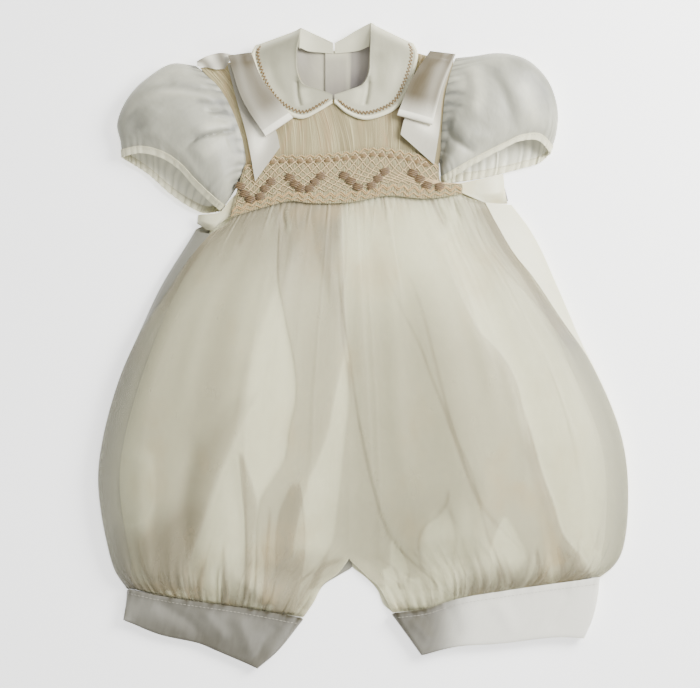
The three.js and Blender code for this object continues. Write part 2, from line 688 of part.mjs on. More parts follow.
function backBodice(key) {
  const edge = bodice.backEdge[key];
  const cut = panel({
    head: line(bodice.backHead[key]), foot: line(bodice.backFoot[key]),
    inner: line([bodice.backHead[key][0], bodice.backFoot[key][0]]), outer: line(bodice.backSide[key]),
  });
  return wall(`back_bodice_${key}`, 'satin', {
    across: steps(8),
    down: steps(9),
    lean: { head: up, foot: up, inner: up, outer: up },
    at: (u, v) => {
      const point = cut(u, v);
      const lap = key === 'right' ? (cloth + seam) * (1 - smoothstep(point.x, edge + 18, edge + 32)) : 0;
      const rise = shoulderRise * shoulderSlope(point.y) * smoothstep(Math.abs(point.x - edge), 26, 40);
      return raised(point, backLevel + lap + rise);
    },
  });
}

function backButton(number) {
  const radius = 4.5;
  const depth = 1.4;
  const spacing = 26;
  const placketMiddle = -20;
  const highest = 163;
  const geometry = new THREE.CylinderGeometry(radius, radius, depth, 16);
  const button = named(`button_${number}`, 'button', geometry);
  button.rotation.x = Math.PI / 2;
  button.position.set(placketMiddle, highest - spacing * (number - 1), depth / 2);
  return button;
}

// ---- Collar ----
const standShare = 0.2; // share of the collar's width that stands up inside the neck

function collarShape(key) {
  const { front, back } = collars[key];
  const whole = (part) => chain(line(front[part]), line(back[part]), 0.5);
  const [stand, roll, edge] = ['stand', 'roll', 'edge'].map(whole);
  return (width, along) => {
    if (width <= standShare) return stand(along).lerp(roll(along), width / standShare);
    const leaf = (width - standShare) / (1 - standShare);
    const point = roll(along).lerp(edge(along), leaf);
    return raised(point, lerp(roll(along).z, edge(along).z, smoothstep(leaf, 0, 0.12)));
  };
}

function collar(key) {
  return wall(`collar_${key}`, 'collar', {
    across: [0, standShare, 0.3, 0.62, 1],
    down: steps(18),
    at: collarShape(key),
  });
}

function collarPiping(key) {
  const shape = collarShape(key);
  return wall(`collar_piping_${key}`, 'piping', {
    across: [0, 1],
    down: steps(18),
    at: (u, v) => {
      const rim = shape(1, v);
      const outward = rim.clone().sub(shape(0.9, v)).normalize();
      return rim.addScaledVector(outward, seam + 0.1 + u * pipingWidth);
    },
  });
}

// ---- Shoulder bows ----
function ribbonTail(key) {
  const { near, far } = ribbons[key].tail;
  const edges = [line(near), line(far)];
  return wall(`ribbon_tail_${key}`, 'ribbon', {
    across: steps(2),
    down: steps(5),
    thickness: ribbonCloth,
    at: (u, v) => raised(edges[0](v).lerp(edges[1](v), u), tailLevel),
  });
}

// the loop runs down as the lower ply, turns, and runs back up as the upper ply
function ribbonLoop(key) {
  const { near, far } = ribbons[key].loop;
  const edges = [line(near), line(far)];
  const radius = loopRise / 2;
  return wall(`ribbon_loop_${key}`, 'ribbon', {
    across: steps(2),
    down: steps(14),
    thickness: ribbonCloth,
    at: (u, v) => {
      const angle = clamp((v - 0.4) / 0.2, 0, 1) * Math.PI; // the turn is the middle fifth
      const straight = v < 0.5 ? Math.min(v / 0.4, 1) : Math.min((1 - v) / 0.4, 1);
      const share = lerp(0.02, 0.95, straight);
      const point = edges[0](share).lerp(edges[1](share), u);
      const onward = edges[0](1).lerp(edges[1](1), u).sub(edges[0](0.9).lerp(edges[1](0.9), u)).normalize();
      point.addScaledVector(onward, Math.sin(angle) * radius);
      return raised(point, loopLevel + radius * (1 - Math.cos(angle)));
    },
  });
}

function ribbonShoulder() {
  const edges = [line(ribbons.shoulder.head), line(ribbons.shoulder.foot)];
  return wall('ribbon_shoulder_left', 'ribbon', {
    across: steps(4),
    down: steps(2),
    thickness: ribbonCloth,
    at: (u, v) => raised(edges[0](u).lerp(edges[1](u), v), tailLevel - 1.4),
  });
}

// ---- Assembly ----
const romper = new THREE.Group();
for (const key of ['left', 'right']) {
  romper.add(overlayFront(key), liningFront(key), bloomerBack(key), legCuff(key));
  romper.add(sleeve(key), sleeveBinding(key), sidePanel(key), backBodice(key));
  romper.add(collar(key), collarPiping(key), ribbonTail(key), ribbonLoop(key));
}
romper.add(chestPanel(), smockedBand(), ribbonShoulder());
for (const number of [1, 2, 3]) romper.add(backButton(number));

export default romper;
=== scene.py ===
import math
import bpy
import numpy as np
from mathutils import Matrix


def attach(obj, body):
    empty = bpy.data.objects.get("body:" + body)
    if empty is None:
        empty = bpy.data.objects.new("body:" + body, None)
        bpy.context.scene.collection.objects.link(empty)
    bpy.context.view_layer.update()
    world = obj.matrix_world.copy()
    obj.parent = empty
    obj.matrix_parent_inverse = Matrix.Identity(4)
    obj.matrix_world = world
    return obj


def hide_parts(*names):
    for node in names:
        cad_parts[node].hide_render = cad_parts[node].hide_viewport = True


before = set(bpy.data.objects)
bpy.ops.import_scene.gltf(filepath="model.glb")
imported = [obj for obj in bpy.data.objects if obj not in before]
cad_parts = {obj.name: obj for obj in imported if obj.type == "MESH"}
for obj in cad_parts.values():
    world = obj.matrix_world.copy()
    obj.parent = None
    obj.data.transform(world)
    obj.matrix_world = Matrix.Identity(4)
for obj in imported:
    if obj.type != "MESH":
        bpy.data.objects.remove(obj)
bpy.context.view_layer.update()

mm = 0.001

# Levels and sizes of the laid romper, in millimetres. +X is the viewer's right, +Y the neck, +Z up.
# "left" and "right" are the viewer's.
romper = {
    "centreFront": -11, "centreBack": -16, "crotchAt": 0.8, "sideFold": 12, "liningInset": 14.5,
    "backLevel": 2.4, "frontLevel": 11, "bandLevel": 12.6, "leafLevel": 12.7,
    "tailLevel": 14.1, "loopLevel": 15.5, "loopRise": 2.6, "liningDrop": 3.4, "edgeDrop": 1.8,
    "overlayFloor": 4.0, "cuffTop": 9.4, "bindingWidth": 5.5, "pipingWidth": 2.4,
}
sheetThickness = {"organza": 0.3, "lining": 0.4, "satin": 0.5, "cuff": 1.1, "collar": 0.7, "ribbon": 0.45}


# Small tools for curves and cloth

def smooth(x, low, high):
    t = np.clip((np.asarray(x, float) - low) / (high - low), 0, 1)
    return t * t * (3 - 2 * t)


def blend(a, b, share):
    return a + (b - a) * share


def line(points, dx=0.0, dy=0.0):
    # a smooth line through points, read by its share of length
    at = np.array([(*p, 0.0)[:3] for p in points], float) + (dx, dy, 0)
    ends = np.vstack([2 * at[0] - at[1], at, 2 * at[-1] - at[-2]])
    gap = np.maximum(np.linalg.norm(np.diff(ends, axis=0), axis=1) ** 0.5, 1e-4)
    t = np.linspace(0, 1, 41)[:, None]
    path = []
    for i in range(len(at) - 1):
        a, b, c, d = ends[i:i + 4]
        before, here, after = gap[i:i + 3]
        leave = ((b - a) / before - (c - a) / (before + here) + (c - b) / here) * here
        arrive = ((c - b) / here - (d - b) / (here + after) + (d - c) / after) * here
        path.append(b + leave * t + (3 * (c - b) - 2 * leave - arrive) * t ** 2
                    + (2 * (b - c) + leave + arrive) * t ** 3)
    path = np.vstack(path)
    run = np.concatenate([[0], np.cumsum(np.linalg.norm(np.diff(path, axis=0), axis=1))])
    run /= run[-1]
    return lambda share: np.stack([np.interp(share, run, path[:, k]) for k in range(3)], -1)


def chain(first, second, share):
    # two lines end to end; the first takes the given share
    def at(t):
        t = np.asarray(t, float)
        return np.where((t < share)[..., None], first(t / share), second((t - share) / (1 - share)))
    return at


def readTable(rows, key):
    # a column of a table, read smoothly by its "at" column
    at = np.array([row["at"] for row in rows], float)
    value = np.array([row[key] for row in rows], float)
    low = np.maximum(np.arange(len(at)) - 1, 0)
    high = np.minimum(np.arange(len(at)) + 1, len(at) - 1)
    slope = (value[high] - value[low]) / (at[high] - at[low])

    def read(share):
        i = np.clip(np.searchsorted(at, share, side="left") - 1, 0, len(at) - 2)
        span = at[i + 1] - at[i]
        t = np.clip((share - at[i]) / span, 0, 1)
        return blend(value[i], value[i + 1], t * t * (3 - 2 * t)) \
            + span * t * (1 - t) * (slope[i] * (1 - t) - slope[i + 1] * t)
    return read


def panel(head, foot, inner, outer):
    # a cut panel spanned by its four edges: head and foot run across, inner and outer run down
    corners = [head(0.0), head(1.0), foot(0.0), foot(1.0)]

    def at(across, down):
        u, v = np.asarray(across, float)[..., None], np.asarray(down, float)[..., None]
        return (head(across) * (1 - v) + foot(across) * v + inner(down) * (1 - u) + outer(down) * u
                - corners[0] * (1 - u) * (1 - v) - corners[1] * u * (1 - v)
                - corners[2] * (1 - u) * v - corners[3] * u * v)
    return at


def panelOf(spec):
    return panel(*[line(spec[edge]) for edge in ("head", "foot", "inner", "outer")])


def spread(columns, rows):
    # every place of a grid, as its share across and its share down
    across = np.linspace(0, 1, columns) if isinstance(columns, int) else np.asarray(columns, float)
    down = np.linspace(0, 1, rows) if isinstance(rows, int) else np.asarray(rows, float)
    return np.meshgrid(across, down)


def withHeight(points, height):
    made = np.array(points, float)
    made[..., 2] = height
    return made


def uneven(seed, count):
    # smooth uneven values from 0 to 1 along a share of length
    values = np.random.default_rng(seed).random(count + 3)

    def at(share):
        x = np.clip(np.asarray(share, float), 0, 1) * count
        i = np.clip(x.astype(int), 0, count)
        t = x - i
        return blend(values[i], values[i + 1], t * t * (3 - 2 * t))
    return at


def gathers(seed, count, reach, away):
    # humps of gathered cloth: how high at a share of the seam's length, a distance in mm from the seam
    rng = np.random.default_rng(seed)
    edges = (np.arange(count + 1) + np.concatenate([[0], rng.uniform(-0.32, 0.32, count - 1), [0]])) / count
    tall = rng.uniform(0.35, 1.0, count)
    long = rng.uniform(*reach, count)
    lean = rng.uniform(-0.25, 0.25, count)

    def at(share, distance):
        share = np.clip(share, 0, 1)
        i = np.clip(np.searchsorted(edges, share, side="right") - 1, 0, count - 1)
        t = np.clip((share - edges[i]) / (edges[i + 1] - edges[i]), 0, 1)
        t = np.clip(t + lean[i] * t * (1 - t) * 2, 0, 1)
        wide = np.clip(distance / away, 0, 1)
        return tall[i] * np.sin(np.pi * t) ** blend(0.7, 2.0, wide) * np.exp(-(distance / long[i]) ** 1.3)
    return at


def creases(x, y, table):
    # soft ridges and troughs, each laid along its own line
    total = np.zeros_like(x)
    for crease in table:
        path = line(crease["along"])(np.linspace(0, 1, 25))[:, :2]
        nearest = np.full(x.shape, 1e9)
        share = np.zeros_like(x)
        side = np.zeros_like(x)
        for k in range(24):
            a, run = path[k], path[k + 1] - path[k]
            t = np.clip(((x - a[0]) * run[0] + (y - a[1]) * run[1]) / (run @ run), 0, 1)
            dx, dy = x - a[0] - t * run[0], y - a[1] - t * run[1]
            away = np.hypot(dx, dy)
            closer = away < nearest
            nearest = np.where(closer, away, nearest)
            share = np.where(closer, (k + t) / 24, share)
            side = np.where(closer, np.sign(run[0] * dy - run[1] * dx), side)
        width = crease["width"] * np.where(side > 0, crease.get("steep", 1.0), 1.0)
        ends = smooth(share, -0.01, crease.get("start", 0.2)) * (1 - smooth(share, 1 - crease.get("end", 0.3), 1.01))
        total += crease["rise"] * np.exp(-(nearest / width) ** 2) * ends
    return total


# Meshes

def addMesh(name, points, faces, material, nodes=(), uv=None, marks=None, sharp=50):
    mesh = bpy.data.meshes.new(name)
    mesh.from_pydata((np.asarray(points) * mm).tolist(), [], faces)
    if uv is not None:
        layer = mesh.uv_layers.new(name="cut")
        loops = np.zeros(len(mesh.loops), int)
        mesh.loops.foreach_get("vertex_index", loops)
        layer.data.foreach_set("uv", (uv[loops] * mm).ravel())
    for key, values in (marks or {}).items():
        mesh.attributes.new(key, "FLOAT", "POINT").data.foreach_set("value", np.ravel(values))
    mesh.shade_smooth()
    mesh.set_sharp_from_angle(angle=math.radians(sharp))
    mesh.materials.append(material)
    made = bpy.data.objects.new(name, mesh)
    bpy.context.scene.collection.objects.link(made)
    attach(made, "root")
    if nodes:
        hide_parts(*nodes)
    return made


def lengthsAlong(points, axis):
    steps = np.linalg.norm(np.diff(points, axis=axis), axis=-1)
    zero = np.zeros_like(np.take(steps, [0], axis=axis))
    return np.concatenate([zero, np.cumsum(steps, axis=axis)], axis=axis)


def shellOf(points, thickness, closed=False):
    # a thin wall round a surface of rows and columns; its two faces and its rim
    rows, columns = points.shape[:2]
    if closed:
        over = np.roll(points, -1, 1) - np.roll(points, 1, 1)
    else:
        over = np.gradient(points, axis=1)
    along = np.gradient(points, axis=0)
    normal = np.cross(over, along)
    normal /= np.maximum(np.linalg.norm(normal, axis=-1, keepdims=True), 1e-9)
    both = np.concatenate([(points + normal * thickness / 2).reshape(-1, 3),
                           (points - normal * thickness / 2).reshape(-1, 3)])
    index = np.arange(rows * columns).reshape(rows, columns)
    if closed:
        index = np.concatenate([index, index[:, :1]], axis=1)
    back = rows * columns
    a, b, c, d = index[:-1, :-1], index[1:, :-1], index[1:, 1:], index[:-1, 1:]
    quads = [np.stack([a, b, c, d], -1).reshape(-1, 4), np.stack([a, d, c, b], -1).reshape(-1, 4) + back]
    rims = [index[0, ::-1], index[-1]]
    if not closed:
        rims += [index[:, 0], index[::-1, -1]]
    for rim in rims:
        quads.append(np.stack([rim[1:], rim[:-1], rim[:-1] + back, rim[1:] + back], -1))
    faces = np.concatenate(quads)
    corner = both[faces]
    volume = np.einsum("ij,ij->i", corner[:, 0], np.cross(corner[:, 1], corner[:, 2])).sum() \
        + np.einsum("ij,ij->i", corner[:, 0], np.cross(corner[:, 2], corner[:, 3])).sum()
    return both, (faces if volume > 0 else faces[:, ::-1])


def cloth(name, points, thickness, material, nodes, cut, closed=False, marks=None):
    # a thin wall on its solid's form; the sizes of the sheet it was cut from, "flat" in mm and "area" in square mm, are
    # worked out but go nowhere
    both, faces = shellOf(points, thickness, closed)
    run = lengthsAlong(points, 1)
    flat = np.stack([run - run[:, -1:] / 2, lengthsAlong(points, 0)], -1).reshape(-1, 2)
    marks = {key: np.concatenate([np.ravel(values)] * 2) for key, values in (marks or {}).items()}
    made = addMesh(name, both, faces.tolist(), material, nodes, np.concatenate([flat, flat]), marks)
    tuple(size * mm for size in cut["flat"])
    cut["area"] * mm * mm
    return made


def tubeMesh(path, radius, sides=6, flatten=1.0):
    # a thread along a path, closed with a point at each end
    path = np.asarray(path, float)
    run = np.gradient(path, axis=0)
    run /= np.maximum(np.linalg.norm(run, axis=1, keepdims=True), 1e-9)
    side = np.cross(run, (0.0, 0.0, 1.0))
    side /= np.maximum(np.linalg.norm(side, axis=1, keepdims=True), 1e-9)
    lift = np.cross(side, run)
    radius = np.broadcast_to(np.asarray(radius, float), (len(path),))
    angle = np.arange(sides) / sides * 2 * math.pi
    rings = (path[:, None] + radius[:, None, None] * (np.cos(angle)[None, :, None] * side[:, None]
             + flatten * np.sin(angle)[None, :, None] * lift[:, None])).reshape(-1, 3)
    points = np.concatenate([rings, [path[0] - run[0] * radius[0] * 0.6, path[-1] + run[-1] * radius[-1] * 0.6]])
    faces = []
    for i in range(len(path) - 1):
        for k in range(sides):
            a, b = i * sides + k, i * sides + (k + 1) % sides
            faces.append((a, b, b + sides, a + sides))
    first, last = len(rings), len(rings) + 1
    foot = (len(path) - 1) * sides
    for k in range(sides):
        faces.append((first, (k + 1) % sides, k))
        faces.append((last, foot + k, foot + (k + 1) % sides))
    return points, faces


def addThreads(name, tubes, material):
    points, faces, count = [], [], 0
    for tubePoints, tubeFaces in tubes:
        points.append(tubePoints)
        faces += [tuple(i + count for i in face) for face in tubeFaces]
        count += len(tubePoints)
    return addMesh(name, np.concatenate(points), faces, material, sharp=80)


def stitches(path, length, gap, radius, lift=0.0):
    # a row of short straight stitches along a path of close points
    path = np.asarray(path, float)
    run = lengthsAlong(path, 0)
    made = []
    start = gap / 2
    while start + length < run[-1]:
        at = np.linspace(start, start + length, 4)
        dash = np.stack([np.interp(at, run, path[:, k]) for k in range(3)], -1)
        dash[:, 2] += lift + np.array([-0.5, 1, 1, -0.5]) * radius
        made.append(tubeMesh(dash, radius, 5))
        start += length + gap
    return made


# Shader maths

class Value:
    def __init__(self, shader, socket):
        self.shader, self.socket = shader, socket

    def __add__(self, other):
        return self.shader.maths("ADD", self, other)

    def __sub__(self, other):
        return self.shader.maths("SUBTRACT", self, other)

    def __rsub__(self, other):
        return self.shader.maths("SUBTRACT", other, self)

    def __mul__(self, other):
        return self.shader.maths("MULTIPLY", self, other)

    __radd__ = __add__
    __rmul__ = __mul__


class Shader:
    def __init__(self, name):
        self.material = bpy.data.materials.new(name)
        self.material.use_nodes = True
        self.tree = self.material.node_tree
        self.surface = self.tree.nodes["Principled BSDF"]

    def put(self, socket, value):
        if isinstance(value, Value):
            self.tree.links.new(value.socket, socket)
        else:
            socket.default_value = value

    def node(self, kind, settings=None, inputs=None, output=0):
        made = self.tree.nodes.new(kind)
        for key, value in (settings or {}).items():
            if key == "stops":
                for stop, (place, colour) in zip(made.color_ramp.elements, value):
                    stop.position, stop.color = place, colour
            else:
                setattr(made, key, value)
        for key, value in (inputs or {}).items():
            self.put(made.inputs[key], value)
        return Value(self, made.outputs[output])

    def maths(self, operation, *values):
        return self.node("ShaderNodeMath", {"operation": operation}, dict(enumerate(values)))

    def limit(self, value):
        return self.node("ShaderNodeClamp", None, {"Value": value})

    def mark(self, name):
        return self.node("ShaderNodeAttribute", {"attribute_name": name}, output="Fac")

    def mixColours(self, share, first, second, kind="MIX"):
        return self.node("ShaderNodeMix", {"data_type": "RGBA", "blend_type": kind},
                         {0: share, 6: first, 7: second}, output=2)

    def places(self):
        return self.node("ShaderNodeUVMap", {"uv_map": "cut"})

    def noise(self, places, scale, detail=2.0, roughness=0.5):
        return self.node("ShaderNodeTexNoise", None,
                         {"Vector": places, "Scale": scale, "Detail": detail, "Roughness": roughness})

    def stretched(self, places, scale):
        return self.node("ShaderNodeMapping", None, {"Vector": places, "Scale": scale})

    def wave(self, places, direction, scale, distortion=0.0):
        return self.node("ShaderNodeTexWave", {"bands_direction": direction},
                         {"Vector": places, "Scale": scale, "Distortion": distortion,
                          "Detail Scale": 2.0}, output="Fac")

    def bump(self, height, depth, strength=1.0):
        return self.node("ShaderNodeBump", None,
                         {"Height": height, "Distance": depth, "Strength": strength})

    def finish(self, fixed, varied):
        for key, value in {**fixed, **varied}.items():
            self.put(self.surface.inputs[key], value)
        return self.material


def paint(code):
    # a colour written as in a dye book, #rrggbb, as light values
    parts = [int(code[i:i + 2], 16) / 255 for i in (1, 3, 5)]
    return (*[p / 12.92 if p <= 0.04045 else ((p + 0.055) / 1.055) ** 2.4 for p in parts], 1.0)


# What a user would change on each cloth: colours, gloss, size of a thread in metres
cloths = {
    "organza": {"light": "#dcd9b6", "deep": "#9a9176", "cool": "#96968e",
                "tint": "#bea46e", "patch": (26, 15, 1),
                "rough": 0.5, "sheen": 0.1, "thread": 0.00035, "relief": 0.00003,
                "crumple": 0.0003, "clear": 0.30, "fold": 0.20, "mottle": 0.02},
    "lining": {"light": "#f2f0cf", "deep": "#d8d4ae", "rough": 0.4, "sheen": 0.05, "thread": 0.0003,
               "relief": 0.00002, "crumple": 0.0003, "mottle": 0.04},
    "satin": {"light": "#dedbbb", "deep": "#8a887a", "tint": "#cdb878", "patch": (30, 30, 1),
              "rough": 0.36, "sheen": 0.05, "thread": 0.0003, "relief": 0.00002, "crumple": 0.0004, "mottle": 0.04},
    # the cuff's deep colour is dark for the painted shade on the cuffs
    "cuffSatin": {"light": "#f0eee0", "deep": "#474232", "rough": 0.34, "sheen": 0.05, "thread": 0.0003,
                  "relief": 0.00002, "crumple": 0.0004, "mottle": 0.02},
    "pleated": {"light": "#aea37a", "deep": "#776a48", "tint": "#a98058", "patch": (90, 16, 1),
                "rough": 0.6, "sheen": 0.15, "thread": 0.0004, "relief": 0.00003, "crumple": 0.0001, "mottle": 0.05},
    "smocked": {"light": "#99906b", "deep": "#6b5f40", "tint": "#a07c54", "patch": (90, 40, 1),
                "rough": 0.65, "sheen": 0.15, "thread": 0.0004, "relief": 0.00003, "crumple": 0.0001, "mottle": 0.05},
    "collar": {"light": "#cfccb0", "deep": "#7d7b66", "rough": 0.5, "sheen": 0.1, "thread": 0.0003,
               "relief": 0.00002, "crumple": 0.0004, "mottle": 0.03},
    "sleeve": {"light": "#dedcc4", "deep": "#74746a", "rough": 0.4, "sheen": 0.1, "thread": 0.0003,
               "relief": 0.00002, "crumple": 0.0012, "mottle": 0.04},
    # the ribbon's light and deep colours are the ends of its painted highlights and painted shade
    "ribbon": {"light": "#faf6e2", "deep": "#574d38", "rough": 0.26, "sheen": 0.0, "thread": 0.0003,
               "relief": 0.00001, "crumple": 0.0002, "mottle": 0.015},
    "inside": {"light": "#bdb9a0", "deep": "#77706a", "rough": 0.5, "sheen": 0.05, "thread": 0.0003,
               "relief": 0.00002, "crumple": 0.0005, "mottle": 0.04},
    "piping": {"light": "#e0dcbc", "deep": "#b5ad88", "rough": 0.6, "sheen": 0.1, "thread": 0.0003,
               "relief": 0.00003, "crumple": 0.0002, "mottle": 0.04},
}


def fabric(name):
    # one cloth: its weave, slight unevenness, and deeper colour where its ply mark is high: where it lies double, and
    # painted shade in folds and painted highlights, which that mark also carries
    spec = cloths[name]
    shader = Shader(name)
    places = shader.places()
    warp = shader.wave(places, "X", 0.314 / spec["thread"])
    weft = shader.wave(places, "Y", 0.314 / spec["thread"])
    slubs = shader.noise(shader.stretched(places, (260, 60, 1)), 1.0, 3.0)
    cloud = shader.noise(places, 22.0, 3.0)
    pliesAndPaintedShading = shader.mark("pliesAndPaintedShading")
    share = shader.limit(pliesAndPaintedShading + (cloud - 0.5) * spec["mottle"] * 8 + (slubs - 0.5) * spec["mottle"] * 4)
    colour = shader.mixColours(share, paint(spec["light"]), paint(spec["deep"]))
    if "tint" in spec:
        patches = shader.noise(shader.stretched(places, spec["patch"]), 1.0, 3.0, 0.6)
        warmth = shader.limit((patches - 0.5) * 2.0 + shader.mark("warm"))
        colour = shader.mixColours(warmth, colour, paint(spec["tint"]))
    if "cool" in spec:
        colour = shader.mixColours(shader.limit(shader.mark("cool")), colour, paint(spec["cool"]))
    rumpled = shader.noise(places, 42.0, 3.0, 0.55)
    height = (warp * 0.5 + weft * 0.5 + slubs * 0.8) * spec["relief"] + rumpled * spec["crumple"]
    varied = {
        "Base Color": colour,
        "Roughness": shader.limit((cloud - 0.5) * 0.12 + spec["rough"]),
        "Normal": shader.bump(height, 1.0),
    }
    if "clear" in spec:
        watered = shader.noise(shader.stretched(places, (75, 40, 1)), 1.0, 2.0, 0.6)
        varied["Alpha"] = shader.limit(pliesAndPaintedShading * spec["fold"] + (watered - 0.5) * 0.12 + spec["clear"])
    # painted light: the cloth glows in its own colour where its glow mark is high, lightening insides that lie in shade
    varied["Emission Color"] = shader.mixColours(shader.limit(shader.mark("glow")), paint("#000000"), colour)
    fixed = {"Sheen Weight": spec["sheen"], "Sheen Roughness": 0.4, "Specular IOR Level": 0.4, "Emission Strength": 1.0}
    return shader.finish(fixed, varied)


def threadFinish(name, code, rough=0.5):
    # twisted embroidery thread
    shader = Shader(name)
    places = shader.node("ShaderNodeTexCoord", output="Object")
    ply = shader.noise(places, 1800.0, 2.0)
    light, deep = paint(code), tuple(c * 0.72 for c in paint(code)[:3]) + (1.0,)
    return shader.finish({"Roughness": rough, "Sheen Weight": 0.3}, {
        "Base Color": shader.mixColours(ply, deep, light),
        "Normal": shader.bump(ply, 0.00012),
    })


finish = {name: fabric(name) for name in cloths}
finish["creamThread"] = threadFinish("creamThread", "#dcc08e")
finish["peachThread"] = threadFinish("peachThread", "#c4a26c")
finish["taupeThread"] = threadFinish("taupeThread", "#735b38", 0.45)
finish["softTaupeThread"] = threadFinish("softTaupeThread", "#8d7348", 0.45)
finish["trimThread"] = threadFinish("trimThread", "#806535", 0.45)
finish["seamThread"] = threadFinish("seamThread", "#cbc6b2")
print("finishes made")


# Bloomer: the back, the lining and the sheer overlay of each leg

legs = {
    "left": {
        "waist": [(-11, 105), (-45, 105.4), (-70, 101.4), (-91, 94), (-99, 87.4), (-109.8, 80.8)],
        "backWaist": [(-16, 101), (-60, 98), (-100, 91), (-120.4, 86.4)],
        "inseam": [(-10.4, -154.4), (-18.6, -165), (-29.2, -173), (-35.6, -185), (-43.5, -196.5)],
        "backInseam": [(-8, -161), (-18.6, -167), (-29.2, -174), (-35.6, -185), (-43.5, -196.5)],
        "cuff": [(-43.5, -196.5), (-81.2, -189.8), (-136.4, -182), (-170.2, -175.6)],
        "sideSeam": [(-109.8, 80.8, 11.2), (-123.9, 64.1, 13.5), (-143.2, 35.3, 13.5), (-161, 8, 12),
                     (-175, -22, 10.5), (-187.5, -66, 9.5), (-191, -98, 9.5), (-184.5, -144, 9),
                     (-179, -163, 7.5), (-170.2, -175.6, 5)],
        "outline": [(-120.4, 86.4), (-149.6, 38.4), (-173, -16.8), (-187.5, -66), (-191, -98), (-184.5, -144),
                    (-179, -163), (-170.2, -175.6)],
    },
    "right": {
        "waist": [(-11, 105), (17, 110), (45, 107.8), (66, 110), (76, 106.4), (87.5, 103)],
        "backWaist": [(-16, 101), (30, 104), (75, 104), (104.6, 102.6)],
        "inseam": [(-10.4, -154.4), (1.7, -166), (11, -174.5), (17.5, -186), (21, -193)],
        "backInseam": [(-8, -161), (1.7, -168), (10, -177), (14.5, -187.5), (21, -193)],
        "cuff": [(21, -193), (44.3, -190), (67, -182.8), (104, -176.5), (170.4, -167.2)],
        "sideSeam": [(87.5, 103, 11.2), (96.1, 86.4, 13.5), (108, 66.2, 14), (121.3, 49.7, 14), (140.8, 20.9, 13),
                     (163.8, -13, 11), (185.4, -64.4, 9.5), (190.6, -105, 9.5), (187, -147, 8.5),
                     (180.5, -159, 7.5), (170.4, -167.2, 5)],
        "outline": [(104.6, 102.6), (117.7, 83.5), (143.6, 33.1), (163.8, -13), (185.4, -64.4), (190.6, -105),
                    (187, -147), (180.5, -159), (170.4, -167.2)],
    },
}

# Heights of the bloomer front, from the waist (0) to the cuff (1)
fullness = [
    {"at": 0, "crown": 11, "centre": 11}, {"at": 0.012, "crown": 11.1, "centre": 11.1},
    {"at": 0.04, "crown": 13.6, "centre": 13}, {"at": 0.09, "crown": 17, "centre": 14.5},
    {"at": 0.2, "crown": 24.5, "centre": 19}, {"at": 0.45, "crown": 31, "centre": 21},
    {"at": 0.65, "crown": 31, "centre": 15}, {"at": 0.8, "crown": 28, "centre": 3.7},
    {"at": 0.92, "crown": 21, "centre": 3.7}, {"at": 1, "crown": 9.4, "centre": 4.6},
]

# The line where the centre ply ends and the right one begins, from top to foot
centreToRight = [(4, 84), (12, 60), (30, 20), (40, 0), (47, -20), (55, -40), (62, -60), (72, -80), (79, -100),
                 (84, -120), (88, -135), (97, -155), (104, -180)]
